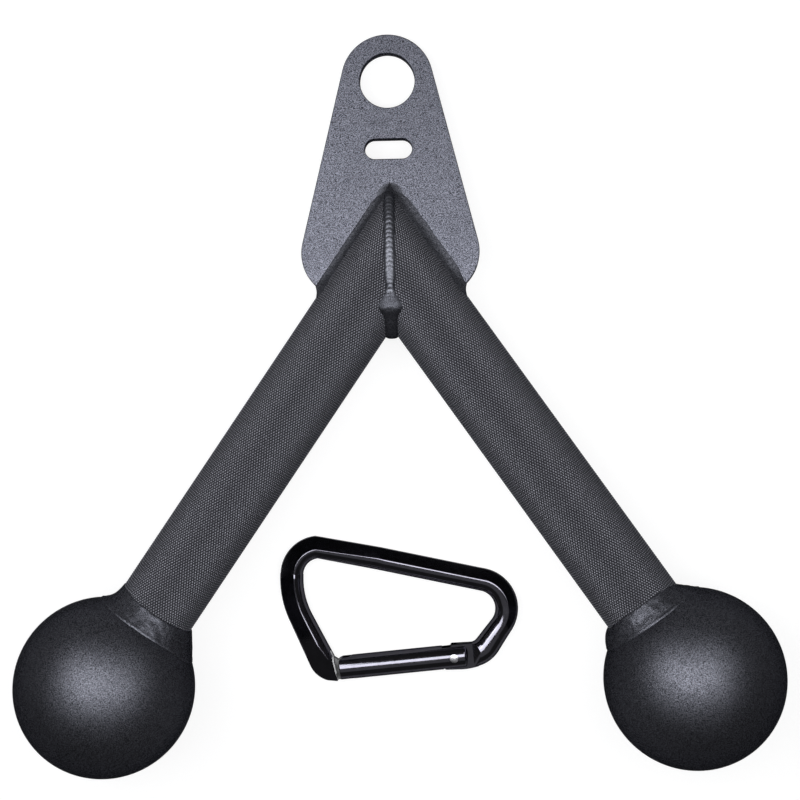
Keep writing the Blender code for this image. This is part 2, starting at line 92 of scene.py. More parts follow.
# Welds: each bead is sunk a little into the metal that it joins
weld_sink = 0.15 * mm
bead_width = 4.8 * mm
bead_proud = 0.95 * mm
bead_start = math.radians(22.0)
bead_end = math.radians(121.5)
bead_crown_power = 2.5
bead_skin_slope = 3
bead_ripple_height = 0.32 * mm
bead_waver_share = 0.05
bead_waver_length_share = 0.06
bead_neck_share = 0.25
bead_neck_place_share = 0.95
bead_neck_spread_share = 0.05
bead_crater_share = 0.12
bead_tail_drop_share = 0.5
bead_tail_share = 0.06
crotch_start = math.radians(116.5)
crotch_end_width = 10.0 * mm
crotch_root_width = 5.4 * mm
crotch_least_width = 0.6 * mm
crotch_ripple_height = 0.12 * mm
crotch_lump_turn = math.radians(16.5)
crotch_lump_spread = math.radians(8.5)
crotch_lump_height = 0.35 * mm
crotch_proud = 0.7 * mm
fillet_grip_leg = 2.6 * mm
fillet_plate_leg = {-1: 2.9 * mm, 1: 3.9 * mm}
fillet_rough_share = {-1: 0.07, 1: 0.14}
fillet_grip_wave = 9.0 * mm
fillet_plate_wave = 7.0 * mm
fillet_lump_height = 1.6 * mm
fillet_rough_rise = 0.7
fillet_apex_thinning_share = 0.58
fillet_apex_start = 14.0 * mm
fillet_apex_run = 11.0 * mm
corner_grip_leg = 4.1 * mm
corner_plate_leg = 2.9 * mm
corner_blend = 8.0 * mm
fillet_hollow_share = 0.09
fillet_skin_slope = 8
ball_weld_reach = 40.3 * mm
ball_weld_lean = math.radians(34.8)
# Each side of a ball weld: more reach, more lean, how hollow it is, and how high its lump
ball_weld_sides = {
    (-1, "outer"): (1.5 * mm, math.radians(1.5), 1.0, 0),
    (-1, "inner"): (0, math.radians(6.7), 0.05, 0.1 * mm),
    (1, "outer"): (-4.2 * mm, math.radians(4.7), 0.1, 0),
    (1, "inner"): (-2.2 * mm, math.radians(1.8), 0, 1.0 * mm),
}
ball_weld_side_spread = math.radians(40.0)
ball_weld_hollow_share = 0.12
ball_weld_waver = 0.5 * mm
ball_weld_waver_scale = 3
ball_toe_height = 0.25 * mm
ball_toe_share = 0.93
ball_toe_spread_share = 0.05
ball_toe_lift = 0.8
ball_toe_scale = 4
ball_rough_scale = 6
ball_rough_scale_across = 3
ball_rough_lift = 0.4
mound_height = 1.2 * mm
mound_reach = 6.5 * mm
mound_centre = (0.3 * mm, 25.7 * mm)
mound_waver_share = 0.12
mound_fall = 1.1
mound_skin_fall = 1.2
ripple_sizes = {
    "ball": {"Pitch": 2.2 * mm, "Height": 0.08 * mm, "Curl": 0.8 * mm, "Wander": 1.4,
             "Lump Height": 0.5 * mm, "Lump Size": 2.6 * mm},
    "fillet": {"Pitch": 2.4 * mm, "Height": 0.08 * mm, "Curl": 0.6 * mm, "Wander": 1.2,
               "Lump Size": 2.4 * mm},
    "mound": {"Pitch": 3.0 * mm, "Height": 0.0, "Curl": 0.0, "Wander": 1.0,
              "Lump Height": 0.3 * mm, "Lump Size": 2.5 * mm},
    "bead": {"Pitch": 2.0 * mm, "Curl": 1.8 * mm, "Wander": 0.9,
             "Lump Height": 0.12 * mm, "Lump Size": 1.5 * mm},
}

ripple_sway_scale = 0.35
ripple_strengths = (0.55, 1.0)
scallop_power = 0.7

# Snap hook
rod_radius = 5.0 * mm
gate_radius = 5.25 * mm
snap_span = 103.1 * mm
snap_depth = 58.1 * mm
snap_corner_shares = {
    "heel": (0.781, 0.0),
    "shoulder": (1.0, 0.459),
    "crown": (0.038, 1.0),
    "knee": (0.0, 0.577),
    "nose": (0.117, 0.0),
}
pivot_share = 0.663
bend_radii = {
    "heel": 10.0 * mm,
    "shoulder": 13.0 * mm,
    "crown": 12.3 * mm,
    "knee": 39.7 * mm,
    "nose": 6.0 * mm,
}
spine_press = 1.06 * mm
arm_press = 1.95 * mm
nose_press = 2.6 * mm
spine_ridge = math.radians(-10.0)
arm_ridge = math.radians(17.0)
nose_ridge = math.radians(37.0)
least_press_share = 0.0005
press_fade_shares = (0.1, 0.17)
arm_shares = (0.5, 0.3)
nose_shares = (0.91, 0.05)
inner_shares = (0, 0.2, 0.4, 0.6, 0.75, 0.86, 0.93, 0.97)
flat_shares = (0, 0.035, 0.08, 0.15, 0.3, 0.5, 0.7, 0.85, 0.95, 1)
outer_shares = (0.12, 0.3, 0.5, 0.75, 1)
tang_thickness = 4.6 * mm
tang_width = 11.2 * mm
tang_reach = 8.5 * mm
tang_top_drop = 0.5 * mm
tang_step = -0.2 * mm
tang_step_round = 0.9 * mm
tang_belly = 5.7 * mm
tang_belly_place = 4.2 * mm
tang_belly_radius = 28.4 * mm
tang_belly_lead = 0.1
cam_reach = 3.6 * mm
cam_round = 1.6 * mm
cam_rise = 3.1 * mm
cam_start = math.radians(103.5)
tang_foot = 0.9 * mm
tang_foot_rise = 2.6 * mm
tang_foot_round = 0.8 * mm
shoulder_slope = math.radians(43.0)
nose_half_width = 5.8 * mm
hinge_end_reach = 5.5 * mm
hinge_slot_depth = 4.9 * mm
gate_end_round = 1.1 * mm
gate_tip_round = 0.4 * mm
rivet_radius = 1.85 * mm
rivet_end_sink = 0.05 * mm
rivet_dome = 0.3 * mm
running_gap = 0.3 * mm
nose_corner_to_plane = 4.2 * mm
nose_gap = 1.7 * mm
nose_lean = math.radians(5.0)
nose_rim_width = 0.55 * mm
nose_clear_share = 3.5
key_thickness = 3.6 * mm
key_width = 9.4 * mm
key_top = 3.9 * mm
key_ramp_top = 5.3 * mm
key_ramp_length = 1.9 * mm
key_length = 7.7 * mm
key_slot_depth = 6.1 * mm
latch_pin_radius = 1.0 * mm
latch_pin_from_nose = 4.4 * mm
latch_pin_end_sink = 0.5 * mm
latch_play = 0.45 * mm
tip_chamfer_length = 2.5 * mm
tip_chamfer_drop = 1.5 * mm
bore_radius = 2.5 * mm
bore_depth = 28.0 * mm
plunger_radius = 2.2 * mm
plunger_length = 8.0 * mm
plunger_stem_radius = 1.0 * mm
plunger_stem_length = 3.0 * mm
spring_wire_radius = 0.35 * mm
spring_radius = 1.8 * mm
spring_turns = 9
edge_break = 0.3 * mm

# Coats: colour, how far the flecks stray from it, roughness, and depth of the orange peel
coats = {
    "plate_coat": ((0.138, 0.141, 0.168), 0.9, 0.5, 0.07 * mm),
    "ball_coat": ((0.113, 0.115, 0.133), 0.85, 0.47, 0.11 * mm),
    "weld_coat": ((0.165, 0.169, 0.193), 0.4, 0.45, 0.05 * mm),
    "fillet_coat": ((0.138, 0.141, 0.162), 0.7, 0.5, 0.09 * mm),
    # darker than the other coats: painted shade on the crotch weld and the apex mound
    "crotch_painted_shade_coat": ((0.088, 0.09, 0.104), 0.6, 0.5, 0.07 * mm),
}
usual_noise = (0.3, 0.7)
fine_size = 0.5 * mm
fleck_size = 0.34 * mm
fleck_noise = (0.38, 0.62)
patch_size = 24.0 * mm
patch_strength = 0.25
patch_colour_share = 0.8
peel_size = 0.45 * mm
wide_peel_size = 1.4 * mm
wide_peel_share = 0.6
# Knurl colours: painted shade in the grooves, painted highlight on the crests
groove_painted_shade_colour = (0.034, 0.034, 0.04)
groove_shares = (0.12, 0.62)
crest_painted_highlight_colours = ((0.26, 0.262, 0.295), (0.43, 0.432, 0.485))
crest_patch_size = 2.5 * mm
crest_grain_depth = 0.02 * mm
anodise_colours = ((0.15, 0.146, 0.17), (0.185, 0.18, 0.21))
anodise_patch_size = 3.0 * mm
anodise_smear_size = 1.2 * mm
anodise_roughness = (0.08, 0.15)
anodise_grain_depth = 0.003 * mm
forging_wave_size = 7.0 * mm
forging_wave_depth = 0.02 * mm

# Bare metal and painted highlight: shade and metallic share of each cut and of the edge highlight, colour and
# roughness of each steel
cuts_and_painted_highlights = {"milled_key": (0.26, 0.9), "edge_painted_highlight": (0.8, 0.0)}
scratch_noise = (0.35, 0.65)
scratch_stretch = (1, 0.15, 1)
scratch_depth = 0.03 * mm
scratch_dark_share = 0.5
steels = {"rivet_steel": ((0.78, 0.77, 0.8), 0.3), "spring_steel": ((0.6, 0.6, 0.62), 0.28)}
turning_size = 0.4 * mm
turning_depth = 0.01 * mm
turning_dark_share = 0.72

# Studio: each soft box has its place, the point it faces, its width, depth and watts
soft_boxes = {
    "wide_soft_box": ((-0.04, 0.018, 0.62), (-0.04, 0.018, 0), 0.84, 0.27, 3.4),
    "left_soft_box": ((-0.36, 0.27, 0.62), (-0.1, 0, 0), 0.3, 0.34, 1.5),
    "right_soft_box": ((0.33, 0.28, 0.62), (0.1, 0, 0), 0.25, 0.25, 0.7),
    "low_soft_box": ((-0.05, -0.34, 0.62), (0, 0, 0), 0.9, 0.35, 0.16),
}
lamp_colour = (0.97, 0.98, 1.0)
floor_half_width = 18.0
floor_thickness = 0.02
floor_paper = 0.22
floor_glow = 0.86
floor_mirrored_glow = 0.08
room_glow = 1.0
room_mirrored_glow = 0.15
room_light = 0.05
room_white_height = 0.12
camera_lens = 79.412
camera_sensor = 36.0
camera_place = (20.79 * mm, 66.043 * mm, 767.391 * mm)
camera_turns = (-5.0214, 1.2773, -1.2101)

# Fineness
plate_corner_steps = 40
plate_top_steps = 48
plate_edge_segments = 3
plate_edge_over = math.radians(60.0)
eye_sides = 96
window_end_steps = 24
bead_points = 17
bead_step = 0.25 * mm
bead_stretch = 1.3
ball_weld_stations = 180
ball_weld_points = 20
fillet_points = 12
fillet_stations = 260
fillet_corner_stations = 16
mound_rings = 28
mound_sectors = 72
bend_step = math.radians(3.0)
rod_step = 3.0 * mm
gate_sides = 96
pin_sides = 64
coil_steps = 28
wire_sides = 14
overrun = 2.0 * mm
merge_under = 0.001 * mm
sharp_over = math.radians(57.0)
quarter = math.pi / 2


def joint(name):
    """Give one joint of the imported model."""
    return next(item for item in frame["joints"] if item["name"] == name)


# Where the handle and the snap hook lie
front_axis = Vector(frame["record"]["mounts"][0]["axis"])
tilt = math.atan2(front_axis.y, front_axis.z)
ball_low, ball_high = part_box("right_end_ball")
ball_centre = (ball_low + ball_high) / 2
ball_radius = (ball_high.z - ball_low.z) / 2
sin_half = ball_centre.x / grip_to_ball
cos_half = math.sqrt(1 - sin_half ** 2)
half_angle = math.asin(sin_half)
drop = grip_to_ball * cos_half
grip_meeting = Vector((0, ball_centre.y + drop * math.cos(tilt), ball_centre.z - drop * math.sin(tilt)))
handle_place = Matrix.Translation(grip_meeting) @ Matrix.Rotation(-tilt, 4, "X")
pivot = Vector(joint("gate_hinge")["pos_m"])
gate_way = Vector(joint("plunger_slide")["axis"])
snap_place = Matrix.Translation(pivot) @ Matrix.Rotation(math.atan2(-gate_way.y, -gate_way.x), 4, "Z")

half_plate = plate_thickness / 2
half_tang = tang_thickness / 2
half_key = key_thickness / 2
nose_plane = (snap_corner_shares["nose"][0] - pivot_share) * snap_span + nose_corner_to_plane
gate_tip = nose_plane + nose_gap
latch_pin_x = nose_plane + latch_pin_from_nose
plunger_face = -cam_reach - running_gap


# Finishes
def feed(tree, value, socket):
    """Put a plain value or another node's output into a socket."""
    if isinstance(value, bpy.types.NodeSocket):
        tree.links.new(value, socket)
    else:
        socket.default_value = value


def add_node(tree, kind, inputs=(), **settings):
    """Add a node, set its properties and feed its inputs, given by name."""
    node = tree.nodes.new(kind)
    for name, value in settings.items():
        setattr(node, name, value)
    for name, value in dict(inputs).items():
        feed(tree, value, node.inputs[name])
    return node


def add_sum(tree, operation, *values):
    """Add a sum of one, two or three values; give its output."""
    made = add_node(tree, "ShaderNodeMath", operation=operation)
    for value, socket in zip(values, made.inputs):
        feed(tree, value, socket)
    return made.outputs["Value"]


def new_finish(name, roughness, metallic, tint=(1, 1, 1)):
    """Start a material; give it, its node tree and its shader."""
    made = bpy.data.materials.new(name)
    made.use_nodes = True
    shader = made.node_tree.nodes["Principled BSDF"]
    shader.inputs["Roughness"].default_value = roughness
    shader.inputs["Metallic"].default_value = metallic
    shader.inputs["Specular Tint"].default_value = (*tint, 1)
    shader.inputs["IOR"].default_value = 1.5
    return made, made.node_tree, shader.inputs


def grain(tree, size, detail=2.0, stretch=(1, 1, 1)):
    """Add noise of one grain size, laid on the piece; give its output."""
    where = add_node(tree, "ShaderNodeTexCoord").outputs["Object"]
    laid = add_node(tree, "ShaderNodeMapping", {"Vector": where, "Scale": stretch}).outputs["Vector"]
    inputs = {"Vector": laid, "Scale": 1 / size, "Detail": detail}
    return add_node(tree, "ShaderNodeTexNoise", inputs).outputs["Fac"]


def spread(tree, value, low, high, to_low=0, to_high=1):
    """Map a range of a value to another range."""
    limits = {"From Min": low, "From Max": high, "To Min": to_low, "To Max": to_high}
    return add_node(tree, "ShaderNodeMapRange", {"Value": value, **limits}).outputs["Result"]


def mix_colours(tree, factor, first, second):
    """Mix two colours, each a colour or another node's output."""
    made = add_node(tree, "ShaderNodeMix", {"Factor": factor}, data_type="RGBA")
    for label, colour in (("A", first), ("B", second)):
        socket = next(s for s in made.inputs if s.name == label and s.type == "RGBA")
        feed(tree, (*colour, 1) if isinstance(colour, tuple) else colour, socket)
    return next(s for s in made.outputs if s.type == "RGBA")


def add_bump(tree, shader, *layers):
    """Lay bumps on a shader: each layer is a height and its depth."""
    below = {}
    for height, depth in layers:
        made = add_node(tree, "ShaderNodeBump", {"Height": height, "Distance": depth, **below})
        below = {"Normal": made.outputs["Normal"]}
    feed(tree, below["Normal"], shader["Normal"])


def powder_coat(name):
    """Metallic powder coat: dark at grazing angles, flecked, over an orange peel."""
    colour, contrast, roughness, peel = coats[name]
    made, tree, shader = new_finish(name, roughness, 1.0, tint=(0, 0, 0))
    shares = 1 - contrast, 1 + contrast, patch_colour_share
    dark, light, faded = [tuple(c * share for c in colour) for share in shares]
    patches = grain(tree, patch_size, detail=3.0)
    flecks = spread(tree, grain(tree, fleck_size, detail=1.0), *fleck_noise)
    speckled = mix_colours(tree, flecks, dark, light)
    strength = spread(tree, patches, *usual_noise, 0, patch_strength)
    patched = mix_colours(tree, strength, speckled, faded)
    feed(tree, patched, shader["Base Color"])
    rough = spread(tree, patches, *usual_noise, roughness - 0.03, roughness + 0.04)
    feed(tree, rough, shader["Roughness"])
    wide = grain(tree, wide_peel_size)
    add_bump(tree, shader, (grain(tree, peel_size), peel), (wide, peel * wide_peel_share))
    return made


def knurl_coat():
    """Powder coat over the knurl: darker in the grooves as painted shade, lighter on the crests as painted
    highlight.
    """
    made, tree, shader = new_finish("knurl_coat", 0.5, 0.45, tint=(0.4, 0.4, 0.4))
    groove = add_node(tree, "ShaderNodeAttribute", attribute_name="groove").outputs["Fac"]
    # painted highlight on the crests, painted shade in the grooves
    crest_highlight = mix_colours(tree, grain(tree, crest_patch_size, detail=3.0), *crest_painted_highlight_colours)
    colour = mix_colours(tree, spread(tree, groove, *groove_shares), crest_highlight, groove_painted_shade_colour)
    feed(tree, colour, shader["Base Color"])
    add_bump(tree, shader, (grain(tree, fine_size), crest_grain_depth))
    return made


def black_anodise():
    """Glossy black anodised aluminium with a faint unevenness from its forging."""
    made, tree, shader = new_finish("black_anodise", 0.2, 1.0, tint=(0.1, 0.1, 0.1))
    shade = spread(tree, grain(tree, anodise_patch_size, detail=4.0), *usual_noise)
    feed(tree, mix_colours(tree, shade, *anodise_colours), shader["Base Color"])
    smears = grain(tree, anodise_smear_size, detail=5.0)
    feed(tree, spread(tree, smears, *usual_noise, *anodise_roughness), shader["Roughness"])
    fine = grain(tree, fine_size, detail=3.0)
    wave = grain(tree, forging_wave_size)
    add_bump(tree, shader, (wave, forging_wave_depth), (fine, anodise_grain_depth))
    return made


def cut_metal_and_painted_highlight(name, shade, metallic):
    """Dull aluminium where the coat was milled off; given a light shade, it is a painted highlight on edges.
    """
    made, tree, shader = new_finish(name, 0.42, metallic)
    scratches = grain(tree, fine_size, detail=3.0, stretch=scratch_stretch)
    colours = (shade * scratch_dark_share,) * 3, (shade,) * 3
    feed(tree, mix_colours(tree, spread(tree, scratches, *scratch_noise), *colours), shader["Base Color"])
    add_bump(tree, shader, (scratches, scratch_depth))
    return made


def turned_steel(name, colour, roughness):
    """Bright steel with fine turning marks."""
    made, tree, shader = new_finish(name, roughness, 1.0)
    marks = grain(tree, turning_size, detail=4.0)
    darker = tuple(c * turning_dark_share for c in colour)
    feed(tree, mix_colours(tree, spread(tree, marks, *usual_noise), darker, colour), shader["Base Color"])
    feed(tree, spread(tree, marks, *usual_noise, roughness - 0.08, roughness + 0.1), shader["Roughness"])
    add_bump(tree, shader, (marks, turning_depth))
    return made


# Shapes
def loft(rings, marks=None, closed=False):
    """Join rings of as many points each, into a loop or with flat ends; keep each point's marks."""
    bm = bmesh.new()
    layers = [bm.verts.layers.float.new(label) for label in ("along", "across", "skin")] if marks else []
    rows = []
    for i, ring in enumerate(rings):
        row = [bm.verts.new(point) for point in ring]
        for vert, values in zip(row, marks[i] if marks else []):
            for layer, value in zip(layers, values):
                vert[layer] = value
        rows.append(row)
    pairs = list(zip(rows, rows[1:]))
    if closed:
        pairs.append((rows[-1], rows[0]))
    else:
        bm.faces.new(rows[0][::-1])
        bm.faces.new(rows[-1])
    for low, high in pairs:
        for a, b, c, d in zip(low, low[1:] + low[:1], high[1:] + high[:1], high):
            bm.faces.new((a, b, c, d))
    return bm


def prism(outline, low, high):
    """Extrude a flat outline between two heights."""
    return loft([[(x, y, z) for x, y in outline] for z in (low, high)])


def box(low, high):
    """Make a box between two corners."""
    outline = [(low[0], low[1]), (high[0], low[1]), (high[0], high[1]), (low[0], high[1])]
    return prism(outline, low[2], high[2])


def arc(centre, radius, start, end, steps):
    """List points along a flat arc, both ends included."""
    turns = [start + (end - start) * i / steps for i in range(steps + 1)]
    return [(centre[0] + radius * math.cos(a), centre[1] + radius * math.sin(a)) for a in turns]


def turned(start, direction, profile, sides):
    """Turn a profile of (distance along, radius) pairs into a solid."""
    across = up if abs(direction.z) < 0.5 else Vector((0, 1, 0))
    other = direction.cross(across)
    turns = [2 * math.pi * i / sides for i in range(sides)]
    rings = []
    for s, r in profile:
        centre = start + direction * s
        rings.append([centre + across * (r * math.cos(a)) + other * (r * math.sin(a)) for a in turns])
    return loft(rings)


def soften(bm, width, over=math.radians(50.0)):
    """Round a shape's sharp edges."""
    edges = [e for e in bm.edges if e.is_manifold and e.calc_face_angle() > over]
    bmesh.ops.bevel(bm, geom=edges, offset=width, segments=2, affect="EDGES", profile=0.5, clamp_overlap=True)
    return bm


def to_piece(name, bm, coats):
    """Turn a bmesh into an object with its faces outwards and its round faces smooth."""
    bmesh.ops.remove_doubles(bm, verts=bm.verts, dist=merge_under)
    bmesh.ops.recalc_face_normals(bm, faces=bm.faces)
    mesh = bpy.data.meshes.new(name)
    bm.to_mesh(mesh)
    bm.free()
    for coat in coats:
        mesh.materials.append(coat)
    piece = bpy.data.objects.new(name, mesh)
    bpy.context.scene.collection.objects.link(piece)
    smooth(piece)
    return piece


def smooth(piece):
    """Shade a piece's round faces smooth and keep its sharp edges."""
    piece.data.shade_smooth()
    piece.data.set_sharp_from_angle(angle=sharp_over)


def settle(piece):
    """Turn a piece's modifiers into its plain mesh."""
    bpy.context.view_layer.update()
    evaluated = piece.evaluated_get(bpy.context.evaluated_depsgraph_get())
    mesh = bpy.data.meshes.new_from_object(evaluated)
    piece.modifiers.clear()
    piece.data = mesh


def carve(piece, tools):
    """Cut a piece by shapes, or join them to it."""
    made = []
    for operation, shape in tools:
        tool = to_piece("tool", shape, [])
        step = piece.modifiers.new("step", "BOOLEAN")
        step.operation = operation
        step.solver = "EXACT"
        step.object = tool
        made.append(tool)
    settle(piece)
    for tool in made:
        bpy.data.objects.remove(tool)
    smooth(piece)


def run_nodes(piece, tree, sizes):
    """Run a node tree with its named sizes, and keep the result as the piece's plain mesh."""
    step = piece.modifiers.new(tree.name, "NODES")
    step.node_group = tree
    for item in tree.interface.items_tree:
        if item.name in sizes:
            step[item.identifier] = sizes[item.name]
    settle(piece)


def paint(piece, index, test):
    """Give the faces whose centres pass a test another of the piece's materials."""
    for face in piece.data.polygons:
        if test(face.center, face.normal):
            face.material_index = index


def eased(share):
    """Ease a share smoothly from nought to one."""
    share = min(1, max(0, share))
    return share * share * (3 - 2 * share)


def wander(seed, place, size):
    """Give a smooth random number between -1 and 1 for a place along something."""
    return noise.noise(Vector((place / size, seed, 0)))


# Node trees
class Nodes:
    """A geometry node tree with short ways to add sizes and sums."""

    def __init__(self, name, sizes):
        self.tree = bpy.data.node_groups.new(name, "GeometryNodeTree")
        face = self.tree.interface
        face.new_socket("Geometry", in_out="INPUT", socket_type="NodeSocketGeometry")
        for label in sizes:
            kind = "NodeSocketInt" if label in ("Columns", "Rows", "Seed") else "NodeSocketFloat"
            face.new_socket(label, in_out="INPUT", socket_type=kind)
        face.new_socket("Geometry", in_out="OUTPUT", socket_type="NodeSocketGeometry")
        self.sizes = self.add("NodeGroupInput").outputs

    def add(self, kind, inputs=(), **settings):
        """Add a node."""
        return add_node(self.tree, kind, inputs, **settings)

    def sum(self, operation, *values):
        """Add a sum."""
        return add_sum(self.tree, operation, *values)

    def mark(self, label):
        """Read a mark that the mesh carries."""
        made = self.add("GeometryNodeInputNamedAttribute", {"Name": label}, data_type="FLOAT")
        return next(s for s in made.outputs if s.name == "Attribute" and s.enabled)

    def finish(self, geometry, coat):
        """End the tree in plain geometry with its material."""
        real = self.add("GeometryNodeRealizeInstances", {"Geometry": geometry}).outputs["Geometry"]
        coated = self.add("GeometryNodeSetMaterial", {"Geometry": real, "Material": coat}).outputs["Geometry"]
        self.add("NodeGroupOutput", {"Geometry": coated})
        return self.tree


def knurled_pipe_nodes(coat):
    """Wrap a grid into a pipe whose outside is diamond pyramids, closed through its bore."""
    nodes = Nodes("knurled_pipe", ["Columns", "Rows", "Step", "Start", "Crest", "Depth", "Bore"])
    size, add, sum_of = nodes.sizes, nodes.add, nodes.sum
    per_column = sum_of("ADD", size["Rows"], 4)
    corners = {"Vertices X": sum_of("ADD", size["Columns"], 1), "Vertices Y": per_column}
    grid = add("GeometryNodeMeshGrid", corners).outputs["Mesh"]
    index = add("GeometryNodeInputIndex").outputs["Index"]
    place = sum_of("FLOORED_MODULO", index, per_column)
    column = sum_of("FLOOR", sum_of("DIVIDE", index, per_column))
    before_turn = sum_of("LESS_THAN", place, sum_of("ADD", size["Rows"], 1.5))
    row = sum_of("MULTIPLY", sum_of("MINIMUM", place, size["Rows"]), before_turn)
    past_end = sum_of("GREATER_THAN", place, sum_of("ADD", size["Rows"], 0.5))
    before_close = sum_of("LESS_THAN", place, sum_of("ADD", size["Rows"], 2.5))
    inside = sum_of("MULTIPLY", past_end, before_close)
    groove = sum_of("FLOORED_MODULO", sum_of("ADD", row, column), 2)
    outer = sum_of("SUBTRACT", size["Crest"], sum_of("MULTIPLY", size["Depth"], groove))
    radius = sum_of("MULTIPLY_ADD", inside, sum_of("SUBTRACT", size["Bore"], outer), outer)
    angle = sum_of("DIVIDE", sum_of("MULTIPLY", column, 2 * math.pi), size["Columns"])
    x = sum_of("MULTIPLY", radius, sum_of("COSINE", angle))
    y = sum_of("MULTIPLY", radius, sum_of("SINE", angle))
    z = sum_of("MULTIPLY_ADD", row, size["Step"], size["Start"])
    keep = add("GeometryNodeStoreNamedAttribute", {"Geometry": grid, "Name": "groove"},
               data_type="FLOAT", domain="POINT")
    feed(nodes.tree, groove, next(s for s in keep.inputs if s.name == "Value" and s.enabled))
    point = add("ShaderNodeCombineXYZ", {"X": x, "Y": y, "Z": z}).outputs["Vector"]
    wrapped = add("GeometryNodeSetPosition", {"Geometry": keep.outputs["Geometry"], "Position": point})
    faceted = add("GeometryNodeTriangulate", {"Mesh": wrapped.outputs["Geometry"]},
                  quad_method="SHORTEST_DIAGONAL")
    merged = add("GeometryNodeMergeByDistance",
                 {"Geometry": faceted.outputs["Mesh"], "Distance": merge_under})
    return nodes.finish(merged.outputs["Geometry"], coat)


def weld_ripple_nodes(coat):
    """Raise scalloped ripples and small lumps on a bead's skin, by its marks."""
    nodes = Nodes("weld_ripples", ["Pitch", "Height", "Curl", "Wander", "Lump Height", "Lump Size", "Seed"])
    size, add, sum_of = nodes.sizes, nodes.add, nodes.sum
    along, across, skin = nodes.mark("along"), nodes.mark("across"), nodes.mark("skin")

    def lumps(scale):
        """Add noise about nought, finer for a larger scale."""
        settings = {"W": size["Seed"], "Scale": sum_of("DIVIDE", scale, size["Lump Size"])}
        made = add("ShaderNodeTexNoise", settings, noise_dimensions="4D")
        return sum_of("SUBTRACT", made.outputs["Fac"], 0.5)

    curl = sum_of("MULTIPLY", size["Curl"], sum_of("MULTIPLY", across, across))
    sway = sum_of("MULTIPLY", lumps(ripple_sway_scale), size["Wander"])
    phase = sum_of("ADD", sum_of("DIVIDE", sum_of("SUBTRACT", along, curl), size["Pitch"]), sway)
    share = sum_of("FRACT", phase)
    scallop = sum_of("MULTIPLY", sum_of("MULTIPLY", share, sum_of("SUBTRACT", 1, share)), 4)
    scallop = sum_of("POWER", scallop, scallop_power)
    strength = add("FunctionNodeRandomValue", {"ID": sum_of("FLOOR", phase), "Seed": size["Seed"]},
                   data_type="FLOAT")
    limits = [s for s in strength.inputs if s.enabled and s.name in ("Min", "Max")]
    limits[0].default_value, limits[1].default_value = ripple_strengths
    amount = next(s for s in strength.outputs if s.enabled)
    ripple = sum_of("MULTIPLY", sum_of("MULTIPLY", scallop, amount), size["Height"])
    lift = sum_of("MULTIPLY_ADD", lumps(1), size["Lump Height"], ripple)
    normal = add("GeometryNodeInputNormal").outputs["Normal"]
    offset = add("ShaderNodeVectorMath", operation="SCALE")
    feed(nodes.tree, normal, offset.inputs["Vector"])
    feed(nodes.tree, sum_of("MULTIPLY", lift, skin), offset.inputs["Scale"])
    raised = add("GeometryNodeSetPosition",
                 {"Geometry": size["Geometry"], "Offset": offset.outputs["Vector"]})
    return nodes.finish(raised.outputs["Geometry"], coat)


def coil_nodes(coat):
    """Wind a wire into a coil along Z."""
    nodes = Nodes("coil_spring", ["Turns", "Coil Radius", "Length", "Wire Radius"])
    size, add = nodes.sizes, nodes.add
    radii = {"Start Radius": size["Coil Radius"], "End Radius": size["Coil Radius"]}
    spiral = add("GeometryNodeCurveSpiral",
                 {"Resolution": coil_steps, "Rotations": size["Turns"], "Height": size["Length"], **radii})
    wire = add("GeometryNodeCurvePrimitiveCircle", {"Resolution": wire_sides, "Radius": size["Wire Radius"]})
    curves = {"Curve": spiral.outputs["Curve"], "Profile Curve": wire.outputs["Curve"]}
    swept = add("GeometryNodeCurveToMesh", {**curves, "Fill Caps": True})
    return nodes.finish(swept.outputs["Mesh"], coat)


# Handle
def grip_frame(side):
    """Give a grip's direction away from the eye and its outward normal."""
    along = Vector((side * sin_half, -cos_half, 0))
    outward = Vector((side * cos_half, sin_half, 0))
    return along, outward


def knurled_grip(side, name, tree):
    """Make a knurled pipe and cut it at the mitre."""
    along, outward = grip_frame(side)
    grip = to_piece(name, bmesh.new(), [])
    start = grip_inner_end - knurl_rows * knurl_step
    run_nodes(grip, tree, {"Columns": knurl_columns, "Rows": knurl_rows, "Step": knurl_step, "Start": start,
                           "Crest": grip_radius, "Depth": knurl_depth, "Bore": grip_radius - grip_wall})
    turn = Matrix((outward, up * side, along)).transposed().to_4x4()
    bm = bmesh.new()
    bm.from_mesh(grip.data)
    bm.transform(turn)
    everything = bm.verts[:] + bm.edges[:] + bm.faces[:]
    bmesh.ops.bisect_plane(bm, geom=everything, dist=merge_under, plane_co=(0, 0, 0),
                           plane_no=(side, 0, 0), clear_inner=True)
    rim = [edge for edge in bm.edges if edge.is_boundary]
    bmesh.ops.triangle_fill(bm, edges=rim, use_beauty=True, normal=(-side, 0, 0))
    bmesh.ops.recalc_face_normals(bm, faces=bm.faces)
    bm.to_mesh(grip.data)
    bm.free()
    grip.data.shade_flat()
    return grip


def end_ball(side, name, coat):
    """Turn a hollow ball about its grip's axis, open where the grip goes in."""
    along = grip_frame(side)[0]
    inner = ball_radius - ball_wall
    mouth = math.asin(grip_radius / ball_radius)
    inner_mouth = math.asin(grip_radius / inner)
    outside = arc((0, 0), ball_radius, math.pi, mouth, ball_rings)
    inside = arc((0, 0), inner, inner_mouth, math.pi, ball_rings // 2)
    bm = turned(along * grip_to_ball, -along, outside + inside, ball_segments)
    return to_piece(name, bm, [coat])


